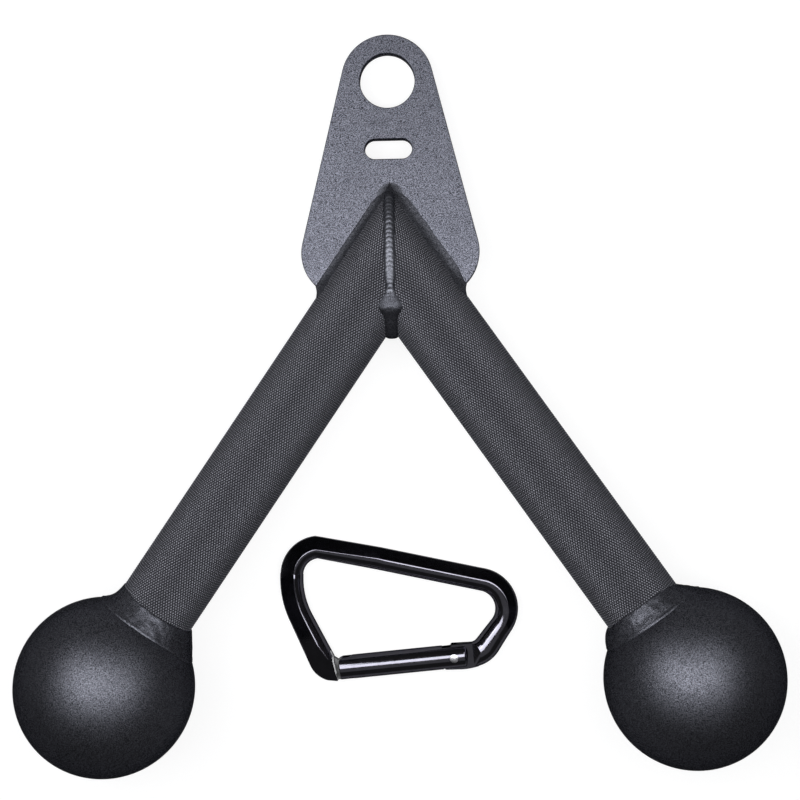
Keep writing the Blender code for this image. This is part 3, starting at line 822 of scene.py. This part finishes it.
def ball_weld(side, name, coat, tree, seed):
    """Lay the ring of weld between a grip and its ball: filled flat, and hollow at one place."""
    along, outward = grip_frame(side)
    centre = along * grip_to_ball
    sunk_ball = ball_radius - weld_sink * 2
    sunk_grip = grip_radius - weld_sink * 2
    corner = Vector((math.sqrt(sunk_ball ** 2 - sunk_grip ** 2), sunk_grip))
    rings, marks = [], []
    for i in range(ball_weld_stations):
        turn = 2 * math.pi * i / ball_weld_stations
        spot = Vector((math.cos(turn), math.sin(turn), seed))
        reach, lean, hollow, lump = ball_weld_reach, ball_weld_lean, ball_weld_hollow_share, 0
        for label, place in (("outer", 0), ("inner", math.pi)):
            share = math.exp(-(turn_from(turn, place) / ball_weld_side_spread) ** 2)
            more_reach, more_lean, side_hollow, side_lump = ball_weld_sides[side, label]
            reach += more_reach * share
            lean += more_lean * share
            hollow += (side_hollow - ball_weld_hollow_share) * share
            lump += side_lump * share
        reach += ball_weld_waver * noise.noise(spot * ball_weld_waver_scale)
        on_grip = Vector((reach, grip_radius))
        on_ball = Vector((math.cos(lean), math.sin(lean))) * ball_radius
        tangents_meet = Vector((on_ball.x + (on_ball.y - grip_radius) * math.tan(lean), grip_radius))
        pull = ((on_grip + on_ball) / 2).lerp(tangents_meet, hollow)
        proud_way = Vector((on_ball.y - on_grip.y, on_grip.x - on_ball.x)).normalized()
        toe_lift = ball_toe_lift + noise.noise(spot * ball_toe_scale)
        ring, mark = [], []
        for k in range(ball_weld_points + 1):
            share = k / ball_weld_points
            at_end = k in (0, ball_weld_points)
            bent = on_grip * (1 - share) ** 2 + pull * (2 * share * (1 - share)) + on_ball * share ** 2
            ridge = math.exp(-((share - ball_toe_share) / ball_toe_spread_share) ** 2)
            lift = lump * math.sin(math.pi * share)
            rough = noise.noise(spot * ball_rough_scale + up * share * ball_rough_scale_across)
            lift += ball_toe_height * (ball_rough_lift + ridge * toe_lift + rough)
            ring.append(bent + proud_way * (-weld_sink if at_end else lift))
            mark.append((turn * grip_radius, share * 2 - 1, 0 if at_end else skin_at(share)))
        ring.append(corner)
        mark.append((0, 0, 0))
        radial = outward * math.cos(turn) + up * math.sin(turn)
        rings.append([centre - along * s + radial * r for s, r in ring])
        marks.append(mark)
    weld = to_piece(name, loft(rings, marks, closed=True), [coat])
    run_nodes(weld, tree, {**ripple_sizes["ball"], "Seed": seed})
    return weld


def skin_at(share):
    """Give how freely a fillet's skin may ripple, at a share of its width: not at its toes."""
    return min(1, fillet_skin_slope * share * (1 - share))


def turn_from(turn, place):
    """Give how far a turn is from a place round a ring, either way."""
    away = abs(turn - place) % (2 * math.pi)
    return min(away, 2 * math.pi - away)


def corner_centre():
    """Give the centre of the plate's right-hand corner arc."""
    fall = (plate_corner_height - eye_height) * math.sin(plate_side_slope)
    across = (plate_top_radius - plate_corner_radius - fall) / math.cos(plate_side_slope)
    return Vector((across, plate_corner_height, 0))


def plate_foot_end(seat):
    """Give the angle at which the corner arc meets the grip, and how far along the grip."""
    along, outward = grip_frame(1)
    centre = corner_centre()
    level = seat - centre.dot(outward)
    reach = math.sqrt(plate_corner_radius ** 2 - level ** 2)
    return half_angle - math.acos(level / plate_corner_radius), centre.dot(along) + reach


def eye_plate(coat):
    """Cut the tapered plate with its eye and its slot, and round its edges."""
    seat = grip_radius - plate_foot_sink
    centre = corner_centre()
    right = [(0, seat / sin_half)]
    foot_turn = plate_foot_end(seat)[0]
    right += arc(centre[:2], plate_corner_radius, foot_turn, plate_side_slope, plate_corner_steps)
    right += arc((0, eye_height), plate_top_radius, plate_side_slope, quarter, plate_top_steps)
    left = [(-x, y) for x, y in right[1:-1]][::-1]
    plate = to_piece("coated_eye_plate", prism(right + left, -half_plate, half_plate), [coat])
    reach = half_plate + overrun
    eye = arc((0, eye_height), eye_radius, 0, 2 * math.pi, eye_sides)[:-1]
    end_x = (window_length - window_width) / 2
    window = arc((end_x, window_height), window_width / 2, -quarter, quarter, window_end_steps)
    window += arc((-end_x, window_height), window_width / 2, quarter, 3 * quarter, window_end_steps)
    carve(plate, [("DIFFERENCE", prism(outline, -reach, reach)) for outline in (eye, window)])
    rounding = plate.modifiers.new("rounded_edges", "BEVEL")
    rounding.width = plate_edge_round
    rounding.segments = plate_edge_segments
    rounding.limit_method = "ANGLE"
    rounding.angle_limit = plate_edge_over
    settle(plate)
    plate.data.shade_smooth()
    even = plate.modifiers.new("even_faces", "WEIGHTED_NORMAL")
    even.weight = 100
    settle(plate)
    return plate


def plate_weld(side, face, name, coat, tree, seed):
    """Lay the fillet between the plate's face and a grip, and round the plate's end."""
    along, outward = grip_frame(side)
    seat = grip_radius - weld_sink
    foot_reach = plate_foot_end(grip_radius)[1]
    plate_leg, rough = fillet_plate_leg[side], fillet_rough_share[side]
    rings, marks = [], []

    def section(distance):
        """List (out from the plate, rise along it) pairs across the bead, with their marks."""
        blend = eased(1 - (foot_reach - distance) / corner_blend)
        leg = fillet_grip_leg + (corner_grip_leg - fillet_grip_leg) * blend
        height = plate_leg + (corner_plate_leg - plate_leg) * blend
        leg *= 1 + rough * wander(seed, distance, fillet_grip_wave)
        height *= 1 - fillet_apex_thinning_share * eased((-fillet_apex_start - distance) / fillet_apex_run)
        waver = fillet_rough_rise + wander(seed + 5, distance, fillet_plate_wave)
        height *= 1 + rough * (1 - blend) * waver
        pairs, mark = [(-weld_sink, 0), (leg, 0)], [(distance, 0, 0), (distance, -1, 0)]
        for k in range(1, fillet_points):
            share = 1 - k / fillet_points
            hollow = fillet_hollow_share * math.sin(math.pi * share)
            pairs.append((leg * (share - hollow), height * (1 - share - hollow)))
            mark.append((distance, 1 - 2 * share, skin_at(share)))
        return pairs + [(0, height), (-weld_sink, height)], mark + [(distance, 1, 0)] * 2

    def place(s, z, rise):
        """Give the point at a distance along the grip, a height and a rise off its seat."""
        lift = math.sqrt(seat ** 2 - z ** 2) + rise
        return along * max(s, -lift * cos_half / sin_half) + outward * lift + up * (face * z)

    apex_reach = -(seat + plate_leg * 1.5) * cos_half / sin_half
    for i in range(fillet_stations + 1):
        distance = apex_reach + (foot_reach - apex_reach) * i / fillet_stations
        pairs, mark = section(distance)
        rings.append([place(distance, half_plate + out, rise) for out, rise in pairs])
        marks.append(mark)
    for i in range(1, fillet_corner_stations + 1):
        swing = quarter * i / fillet_corner_stations
        pairs, mark = section(foot_reach + corner_grip_leg * swing / 2)
        ahead, above = math.sin(swing), math.cos(swing)
        rings.append([place(foot_reach + out * ahead, half_plate + out * above, rise) for out, rise in pairs])
        marks.append(mark)
    rings.append([place(foot_reach + out, 0, rise) for out, rise in pairs])
    marks.append([(along_it, across, 0) for along_it, across, _ in mark])
    weld = to_piece(name, loft(rings, marks), [coat])
    run_nodes(weld, tree, {**ripple_sizes["fillet"], "Lump Height": rough * fillet_lump_height, "Seed": seed})
    return weld


def apex_mound(face, name, coat, tree, seed):
    """Pool the weld in a low mound round the top of the mitre, on one face."""
    rings, marks = [], []
    for i in range(mound_rings + 2):
        share = min(1, i / mound_rings)
        sunk = i > mound_rings
        ring = []
        for k in range(mound_sectors):
            turn = 2 * math.pi * k / mound_sectors
            way = Vector((math.cos(turn), math.sin(turn), seed))
            waver = 1 + mound_waver_share * noise.noise(way)
            fall = min(1, share * mound_fall / waver)
            z = half_plate / 2 if sunk else half_plate + mound_height * (1 - fall ** 2) ** 2 - merge_under
            reach = mound_reach * share
            ring.append((mound_centre[0] * face + reach * way.x, mound_centre[1] + reach * way.y, face * z))
        rings.append(ring)
        skin = 0 if sunk else max(0, 1 - share * mound_skin_fall)
        marks.append([(mound_reach * share, 0, skin)] * mound_sectors)
    mound = to_piece(name, loft(rings, marks), [coat])
    run_nodes(mound, tree, {**ripple_sizes["mound"], "Seed": seed})
    return mound


def mitre_section(angle, width, proud):
    """List one section of a bead on the mitre, at an angle round the joint's ellipse."""
    rise = grip_radius / sin_half
    base = Vector((0, rise * math.cos(angle), grip_radius * math.sin(angle)))
    normal = Vector((0, math.cos(angle) / rise, math.sin(angle) / grip_radius)).normalized()

    def seat(x):
        """Give how far out along the normal the bead meets the grips, at a place across it."""
        flat = abs(x) * cos_half + base.y * sin_half
        a = (sin_half * normal.y) ** 2 + normal.z ** 2
        b = flat * sin_half * normal.y + base.z * normal.z
        c = flat ** 2 + base.z ** 2 - (grip_radius - weld_sink) ** 2
        return (math.sqrt(b * b - a * c) - b) / a

    shares = [2 * i / (bead_points - 1) - 1 for i in range(bead_points)]
    edge = seat(width / 2)
    bulge = proud + max(seat(0) - edge, 0)
    under = [(s, seat(s * width / 2)) for s in shares]
    over = [(s, edge + bulge * (1 - abs(s) ** bead_crown_power)) for s in shares[1:-1]][::-1]
    points = [base + Vector((s * width / 2, 0, 0)) + normal * t for s, t in under + over]
    skin = [0] * len(under) + [min(1, bead_skin_slope * (1 - abs(s))) for s, _ in over]
    return points, [s for s, _ in under + over], skin


def mitre_bead(name, start, end, shape_at, coat, tree, seed, ripple):
    """Lay a rippled bead along the mitre between two angles."""
    count = round(abs(end - start) * grip_radius * bead_stretch / bead_step)
    rings, marks = [], []
    travelled, last = 0, None
    for i in range(count + 1):
        share = i / count
        points, across, skin = mitre_section(start + (end - start) * share, *shape_at(share))
        middle = points[bead_points + bead_points // 2 - 1]
        travelled += (middle - last).length if last else 0
        last = middle
        rings.append(points)
        marks.append([(travelled, x, s) for x, s in zip(across, skin)])
    bead = to_piece(name, loft(rings, marks), [coat])
    run_nodes(bead, tree, {**ripple_sizes["bead"], "Height": ripple, "Seed": seed})
    return bead


def bead_shape(share):
    """Give the long bead's width and height: it starts in a crater and draws in near the crotch."""
    waver = 1 + bead_waver_share * wander(3, share, bead_waver_length_share)
    neck = math.exp(-((share - bead_neck_place_share) / bead_neck_spread_share) ** 2)
    tail = math.exp(-((share - 1) / bead_tail_share) ** 2)
    width = bead_width * waver * (1 - bead_neck_share * neck)
    return width, bead_proud * (eased(share / bead_crater_share) - bead_tail_drop_share * tail)


def crotch_shape(share):
    """Give the crotch weld's width and height: a round lump on each face, and a narrow root."""
    turn = (2 * math.pi - 2 * crotch_start) * (0.5 - abs(share - 0.5))
    lump = math.exp(-((turn - crotch_lump_turn) / crotch_lump_spread) ** 2)
    round_end = math.sqrt(1 - (1 - min(1, turn / crotch_lump_turn)) ** 2)
    width = crotch_root_width + (crotch_end_width - crotch_root_width) * lump
    proud = crotch_proud * round_end + crotch_lump_height * lump * round_end ** 3
    return max(width * round_end, crotch_least_width), proud


# Snap hook
def snap_corner(name):
    """Give a corner of the rod's centre line, from the pivot."""
    across, depth = snap_corner_shares[name]
    return Vector(((across - pivot_share) * snap_span, depth * snap_depth, 0))


def rounded_path(points, radii, sizes):
    """Round a polyline's corners; list each station's place, direction and section size."""
    ways = [(b - a).normalized() for a, b in zip(points, points[1:])]
    lengths = [(b - a).length for a, b in zip(points, points[1:])]
    turns = [math.atan2(a.cross(b).z, a.dot(b)) for a, b in zip(ways, ways[1:])]
    cuts = [0] + [r * math.tan(abs(t) / 2) for r, t in zip(radii, turns)] + [0]
    limits = [min(1, length / (a + b)) for length, a, b in zip(lengths, cuts, cuts[1:])]
    stations = [(points[0], ways[0], sizes[0])]
    for i, turn in enumerate(turns):
        cut = cuts[i + 1] * min(limits[i], limits[i + 1])
        radius = cut / math.tan(abs(turn) / 2)
        start = points[i + 1] - ways[i] * cut
        inward = up.cross(ways[i]) * math.copysign(1, turn)
        steps = max(2, round(abs(turn) / bend_step))
        for k in range(steps + 1):
            swing = abs(turn) * k / steps
            spot = start + inward * (radius * (1 - math.cos(swing))) + ways[i] * (radius * math.sin(swing))
            way = ways[i] * math.cos(swing) + inward * math.sin(swing)
            stations.append((spot, way, sizes[i + 1]))
    stations.append((points[-1], ways[-1], sizes[-1]))
    filled = [stations[0]]
    for (a, _, size_a), (b, way, size_b) in zip(stations, stations[1:]):
        parts = max(1, math.ceil((b - a).length / rod_step))
        for k in range(1, parts + 1):
            size = tuple(p + (q - p) * k / parts for p, q in zip(size_a, size_b))
            filled.append((a.lerp(b, k / parts), way, size))
    return filled


def rod_section(press, ridge):
    """List a unit section, pressed flat on the outer part of both faces down from a ridge."""
    half = math.acos(1 - press)
    low, high = quarter - ridge, quarter - ridge + 2 * half
    inner = [low * s for s in inner_shares]
    flat = [low + (high - low) * s for s in flat_shares]
    outer = [high + (math.pi - high) * s for s in outer_shares]
    points = []
    for angle in inner + flat + outer:
        reach = 1
        if low < angle < high:
            reach = math.cos(half) / math.cos(angle - low - half)
        points.append((reach * math.cos(angle), reach * math.sin(angle)))
    return points + [(x, -y) for x, y in points[1:-1]][::-1]


def nose_x(y):
    """Give how far along the slanted end face of the nose lies, at a height across the gate."""
    return nose_plane - y * math.tan(nose_lean)


def press_at(share):
    """Give how deep the rod is pressed and where its ridge lies, at a share of its length."""
    fade, on_nose = [min(1, max(0, (share - start) / run)) for start, run in (press_fade_shares, nose_shares)]
    on_arm = eased((share - arm_shares[0]) / arm_shares[1])
    ridge = spine_ridge + (arm_ridge - spine_ridge) * on_arm + (nose_ridge - arm_ridge) * on_nose
    press = spine_press + (arm_press - spine_press) * on_arm + (nose_press - arm_press) * on_nose
    return max(press * fade / rod_radius, least_press_share), ridge


def bent_rod():
    """List the rod's sections from inside the heel to the slanted rim of its nose."""
    heel_size = (tang_width / 2, gate_radius)
    middle = (rod_radius, rod_radius)
    knee_size = ((rod_radius + gate_radius) / 2,) * 2
    nose_size = (nose_half_width, gate_radius)
    corners = [snap_corner(name) for name in bend_radii]
    path = [Vector((tang_reach / 2, 0, 0)), *corners, Vector((gate_tip, 0, 0))]
    sizes = (heel_size, heel_size, middle, middle, knee_size, nose_size, nose_size)
    stations = rounded_path(path, bend_radii.values(), sizes)
    lengths = [0]
    for before, after in zip(stations, stations[1:]):
        lengths.append(lengths[-1] + (after[0] - before[0]).length)
    rings = []
    for (spot, way, (wide, high)), length in zip(stations, lengths):
        share = length / lengths[-1]
        side = up.cross(way)
        if share < 0.5 or spot.x < nose_plane - nose_clear_share * nose_rim_width:
            section = rod_section(*press_at(share))
            rings.append([spot + side * (wide * x) + up * (high * y) for x, y in section])
    section = rod_section(nose_press / rod_radius, nose_ridge)
    for inset in (1, 0.5, 0):
        back = nose_rim_width * inset
        trim = nose_rim_width - back
        spots = [((nose_half_width - trim) * y, (gate_radius - trim) * z) for y, z in section]
        rings.append([(nose_x(y) - back, y, z) for y, z in spots])
    return rings


def shoulder_cuts(reach):
    """Give the cuts that end the rod at the tang: square beside it, and sloping above and below."""
    run = (reach - half_tang) / math.tan(shoulder_slope)
    cuts = [box((-overrun, -reach, -half_tang), (tang_reach, reach, half_tang))]
    for face in (-1, 1):
        low, high = face * half_tang, face * reach
        outline = [(-overrun, low), (tang_reach, low), (tang_reach + run, high), (-overrun, high)]
        cuts.append(loft([[(x, y, z) for x, z in outline] for y in (-reach, reach)]))
    return cuts


def hinge_tang():
    """Cut the tang: a step by the gate, a cam that the plunger bears on, a foot and a belly."""
    back = tang_reach + overrun
    top = tang_width / 2
    belly_turn = math.asin((back - tang_belly_place) / tang_belly_radius)
    foot_x = tang_foot_round - cam_reach - tang_foot
    foot_y = tang_foot_round - tang_belly + tang_top_drop
    tang = [(back, top - tang_top_drop)]
    tang += arc((tang_step, top - tang_step_round), tang_step_round, quarter, math.pi, 3)
    tang += arc((cam_round - cam_reach, cam_rise), cam_round, cam_start, math.pi, 5)
    tang += [(-cam_reach, -tang_foot_rise), (-cam_reach - tang_foot, -tang_foot_rise - tang_foot_round)]
    tang += arc((foot_x, foot_y), tang_foot_round, math.pi, 3 * quarter, 3)
    tang += arc((tang_belly_place, tang_belly_radius - tang_belly), tang_belly_radius,
                -quarter - tang_belly_lead, belly_turn - quarter, 12)
    return soften(prism(tang, -half_tang, half_tang), edge_break)


def nose_key():
    """Cut the key, with its notch for the gate's cross pin and its ramp up to the rod."""
    low = -key_width / 2
    tip = nose_plane + key_length
    notch = latch_pin_radius + latch_play
    ramp_start = nose_x(key_ramp_top)
    key = [(nose_x(low) - nose_rim_width / 3, low), (tip, low), (tip, key_top)]
    key += [(latch_pin_x + notch, key_top)]
    key += arc((latch_pin_x, 0), notch, 0, -math.pi, 20)
    key += [(latch_pin_x - notch, key_top), (ramp_start + key_ramp_length, key_top)]
    key += [(ramp_start, key_ramp_top), (nose_plane - overrun, key_ramp_top)]
    return soften(prism(key, -half_key, half_key), edge_break / 2)


def cross_hole(x, radius, reach):
    """Give a round hole across the gate, as long either way."""
    return turned(Vector((x, 0, 0)), up, [(-reach, radius), (reach, radius)], pin_sides)


def snap_hook_body(coats):
    """Bend the pressed rod round the hook, then fit its tang and its nose key."""
    body = to_piece("black_snap_hook", loft(bent_rod()), coats)
    reach = tang_width / 2 + overrun
    carve(body, [("DIFFERENCE", cut) for cut in shoulder_cuts(reach)])
    hole = cross_hole(0, rivet_radius + running_gap, reach)
    carve(body, [("UNION", hinge_tang()), ("UNION", nose_key()), ("DIFFERENCE", hole)])
    key_end = nose_plane + key_length + edge_break
    edge_low = tang_width / 2 - edge_break * 5

    def on_key(c, n):
        """Tell if a face lies on the key, milled down to its metal."""
        return nose_x(c.y) + merge_under < c.x < key_end and abs(c.y) < reach and n.x < 0.9

    def on_rim(c, n):
        """Tell if a face lies on the nose's rim, where a painted highlight goes."""
        near = nose_x(c.y) - nose_rim_width * 1.05 < c.x < nose_x(c.y) - merge_under
        return near and abs(c.y) < reach and abs(c.z) > edge_break * 4 and n.x > 0.2

    def on_tang_edge(c, n):
        """Tell if a face lies on the tang's edge by the gate, where a painted highlight goes."""
        return tang_step < c.x < tang_reach and edge_low < c.y < reach and n.y > 0.3 and abs(n.z) > 0.3

    paint(body, 1, on_key)
    # material 2 is a bright painted highlight on the nose's rim and the tang's edge
    paint(body, 2, on_rim)
    paint(body, 2, on_tang_edge)
    return body


def gate_barrel(coats):
    """Turn the gate, then cut its forks, bore, holes and tip."""
    axis = Vector((1, 0, 0))
    tip_round, end_round = gate_tip_round, gate_end_round
    profile = arc((gate_tip + tip_round, gate_radius - tip_round), tip_round, math.pi, quarter, 6)
    profile += arc((hinge_end_reach - end_round, gate_radius - end_round), end_round, quarter, 0, 8)
    gate = to_piece("black_gate", turned(Vector(), axis, profile, gate_sides), coats)
    reach = gate_radius + overrun
    half_slot = half_tang + running_gap
    hinge_slot = box((-hinge_slot_depth, -reach, -half_slot), (hinge_end_reach + overrun, reach, half_slot))
    half_slot = half_key + running_gap
    key_slot = box((gate_tip - overrun, -reach, -half_slot), (gate_tip + key_slot_depth, reach, half_slot))
    bore_ends = (-bore_depth, overrun - hinge_slot_depth)
    bore = turned(Vector(), axis, [(end, bore_radius) for end in bore_ends], pin_sides)
    rivet_hole = cross_hole(0, rivet_radius + running_gap / 3, reach)
    blind = gate_radius - latch_pin_end_sink + edge_break / 4
    pin_hole = cross_hole(latch_pin_x, latch_pin_radius + running_gap / 3, blind)
    past = overrun * tip_chamfer_drop / tip_chamfer_length
    wedge = [(gate_tip - overrun, gate_radius - tip_chamfer_drop - past),
             (gate_tip + tip_chamfer_length + overrun, gate_radius + past),
             (gate_tip - overrun, gate_radius + past)]
    cuts = [hinge_slot, key_slot, bore, rivet_hole, pin_hole, prism(wedge, -reach, reach)]
    carve(gate, [("DIFFERENCE", cut) for cut in cuts])
    return gate


def hinge_rivet(coat):
    """Turn the hinge rivet with domed ends."""
    top = gate_radius - rivet_end_sink
    ball = (rivet_radius ** 2 + rivet_dome ** 2) / (2 * rivet_dome)
    lean = math.asin(rivet_radius / ball)
    dome = arc((top - ball, 0), ball, lean, 0, 10)
    profile = [(-s, r) for s, r in dome[::-1]] + dome
    return to_piece("bright_hinge_rivet", turned(Vector(), up, profile, pin_sides), [coat])


def latch_pin(coat):
    """Turn the cross pin that drops into the nose key."""
    reach = gate_radius - latch_pin_end_sink
    lip = edge_break / 2
    profile = [(-reach, latch_pin_radius - lip), (lip - reach, latch_pin_radius),
               (reach - lip, latch_pin_radius), (reach, latch_pin_radius - lip)]
    shape = turned(Vector((latch_pin_x, 0, 0)), up, profile, pin_sides)
    return to_piece("bright_latch_pin", shape, [coat])


def plunger(coat):
    """Turn the plunger that the spring presses against the tang."""
    back = plunger_length
    lip = edge_break
    profile = arc((lip, plunger_radius - lip), lip, math.pi, quarter, 4)
    profile += [(back - lip, plunger_radius), (back, plunger_radius - lip), (back, plunger_stem_radius),
                (back + plunger_stem_length - lip, plunger_stem_radius),
                (back + plunger_stem_length, plunger_stem_radius - lip)]
    shape = turned(Vector((plunger_face, 0, 0)), Vector((-1, 0, 0)), profile, pin_sides)
    return to_piece("bright_plunger", shape, [coat])


def gate_spring(tree):
    """Wind the spring between the plunger and the end of the bore."""
    spring = to_piece("wound_gate_spring", bmesh.new(), [])
    start = -bore_depth + running_gap + spring_wire_radius
    length = plunger_face - plunger_length - running_gap - spring_wire_radius - start
    run_nodes(spring, tree, {"Turns": float(spring_turns), "Coil Radius": spring_radius, "Length": length,
                             "Wire Radius": spring_wire_radius})
    spring.data.transform(Matrix.Translation((start, 0, 0)) @ Matrix.Rotation(quarter, 4, "Y"))
    smooth(spring)
    return spring


# Studio
def seen_strength(tree, strength, mirrored):
    """Give a strength for camera and glass rays, and a weaker one for mirror rays."""
    path = add_node(tree, "ShaderNodeLightPath").outputs
    straight = add_sum(tree, "MAXIMUM", path["Is Camera Ray"], path["Is Transmission Ray"])
    first = add_sum(tree, "MULTIPLY", straight, strength)
    return add_sum(tree, "MULTIPLY_ADD", path["Is Glossy Ray"], mirrored, first)


def studio_floor():
    """Lay a wide white floor that still shows the object's shadow."""
    half = floor_half_width
    made = bpy.data.materials.new("white_floor")
    made.use_nodes = True
    tree = made.node_tree
    tree.nodes.clear()
    paper = add_node(tree, "ShaderNodeBsdfDiffuse", {"Color": (floor_paper, floor_paper, floor_paper, 1)})
    strength = seen_strength(tree, floor_glow, floor_mirrored_glow)
    glow = add_node(tree, "ShaderNodeEmission", {"Strength": strength})
    both = add_node(tree, "ShaderNodeAddShader")
    feed(tree, paper.outputs["BSDF"], both.inputs[0])
    feed(tree, glow.outputs["Emission"], both.inputs[1])
    add_node(tree, "ShaderNodeOutputMaterial", {"Surface": both.outputs["Shader"]})
    to_piece("white_floor", box((-half, -half, -floor_thickness), (half, half, 0)), [made])


def studio_world():
    """Light the room softly, and make it white low down where it is seen."""
    world = bpy.data.worlds.new("soft_room")
    bpy.context.scene.world = world
    world.use_nodes = True
    tree = world.node_tree
    tree.nodes.clear()
    where = add_node(tree, "ShaderNodeTexCoord").outputs["Generated"]
    height = add_node(tree, "ShaderNodeSeparateXYZ", {"Vector": where}).outputs["Z"]
    low = add_sum(tree, "LESS_THAN", height, room_white_height)
    seen = seen_strength(tree, room_glow, room_mirrored_glow)
    strength = add_sum(tree, "MULTIPLY_ADD", low, seen, room_light)
    room = add_node(tree, "ShaderNodeBackground", {"Strength": strength})
    add_node(tree, "ShaderNodeOutputWorld", {"Surface": room.outputs["Background"]})


def soft_light(name):
    """Hang a soft box that lights the object without being seen."""
    place, aim, width, depth, watts = soft_boxes[name]
    lamp = bpy.data.lights.new(name, "AREA")
    lamp.shape = "RECTANGLE"
    lamp.size = width
    lamp.size_y = depth
    lamp.energy = watts
    lamp.color = lamp_colour
    light = bpy.data.objects.new(name, lamp)
    bpy.context.scene.collection.objects.link(light)
    light.location = place
    light.rotation_euler = (Vector(aim) - Vector(place)).to_track_quat("-Z", "Y").to_euler()
    light.visible_camera = False


def studio_camera():
    """Look down from above the handle's middle, as the photograph does."""
    lens = bpy.data.cameras.new("camera")
    lens.lens = camera_lens
    lens.sensor_width = camera_sensor
    lens.clip_end = 100.0
    camera = bpy.data.objects.new("camera", lens)
    bpy.context.scene.collection.objects.link(camera)
    camera.location = camera_place
    camera.rotation_euler = [math.radians(turn) for turn in camera_turns]
    bpy.context.scene.camera = camera


def dress(piece, place, body, slot, *nodes):
    """Put a finished piece in place on its body, standing for its solids, if any."""
    piece.data.transform(place)
    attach(piece, body)
    if nodes:
        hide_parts(*nodes)


def make_handle():
    """Make and place the handle's pieces."""
    coat = {name: powder_coat(name) for name in coats}
    pipe = knurled_pipe_nodes(knurl_coat())
    ripples = {name: weld_ripple_nodes(coat[name]) for name in coats if name != "plate_coat"}

    def lay(piece, slot, *nodes):
        """Put a piece on the handle."""
        dress(piece, handle_place, "handle", slot, *nodes)

    def finish(name):
        """Give a coat and the ripples that end in it."""
        return coat[name], ripples[name]

    lay(eye_plate(coat["plate_coat"]), "plate_coat", "eye_plate")
    for side, label in ((-1, "left"), (1, "right")):
        lay(knurled_grip(side, f"knurled_{label}_grip", pipe), "grip_coat", label + "_grip_tube")
        lay(end_ball(side, f"coated_{label}_ball", coat["ball_coat"]), "ball_coat", label + "_end_ball")
        weld = ball_weld(side, f"coated_{label}_ball_weld", *finish("ball_coat"), 11 + side)
        lay(weld, "ball_coat", label + "_ball_weld")
        for face, end in ((1, "front"), (-1, "back")):
            node = f"{label}_plate_weld_{end}"
            weld = plate_weld(side, face, "coated_" + node, *finish("fillet_coat"), 20 + side + 4 * face)
            lay(weld, "weld_coat", node)
    for face, label in ((1, "front"), (-1, "back")):
        # the mound takes the darker coat as painted shade
        mound = apex_mound(face, "coated_apex_mound_" + label, *finish("crotch_painted_shade_coat"), 30 + face)
        lay(mound, "weld_coat")
    for face, label, seed in ((1, "front", 4), (-1, "back", 9)):
        bead = mitre_bead("rippled_mitre_" + label, face * bead_start, face * bead_end, bead_shape,
                          *finish("weld_coat"), seed, bead_ripple_height)
        lay(bead, "weld_coat", "mitre_weld_" + label)
    # the crotch weld takes the darker coat as painted shade
    crotch = mitre_bead("coated_crotch_weld", crotch_start, 2 * math.pi - crotch_start, crotch_shape,
                        *finish("crotch_painted_shade_coat"), 15, crotch_ripple_height)
    lay(crotch, "weld_coat", "crotch_weld")


def make_snap_hook():
    """Make and place the snap hook's pieces."""
    black = black_anodise()
    # the milled key's finish, and the light finish for the painted edge highlight
    cut_and_highlight_finishes = [cut_metal_and_painted_highlight(name, *values) for name, values in cuts_and_painted_highlights.items()]
    steel, wire = [turned_steel(name, *values) for name, values in steels.items()]
    dress(snap_hook_body([black, *cut_and_highlight_finishes]), snap_place, "snap_hook", "snap_hook_black", "snap_hook_body")
    dress(gate_barrel([black]), snap_place, "snap_gate", "snap_hook_black", "gate")
    dress(hinge_rivet(steel), snap_place, "snap_gate", "rivet_steel", "gate_rivet")
    dress(latch_pin(steel), snap_place, "snap_gate", "rivet_steel", "gate_latch_pin")
    dress(plunger(steel), snap_place, "plunger", "rivet_steel", "gate_plunger")
    spring = gate_spring(coil_nodes(wire))
    dress(spring, snap_place, "snap_gate", "spring_steel", "gate_spring")
    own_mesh(spring)


make_handle()
make_snap_hook()
studio_floor()
studio_world()
for box_name in soft_boxes:
    soft_light(box_name)
studio_camera()
bpy.context.scene.view_settings.view_transform = "Standard"
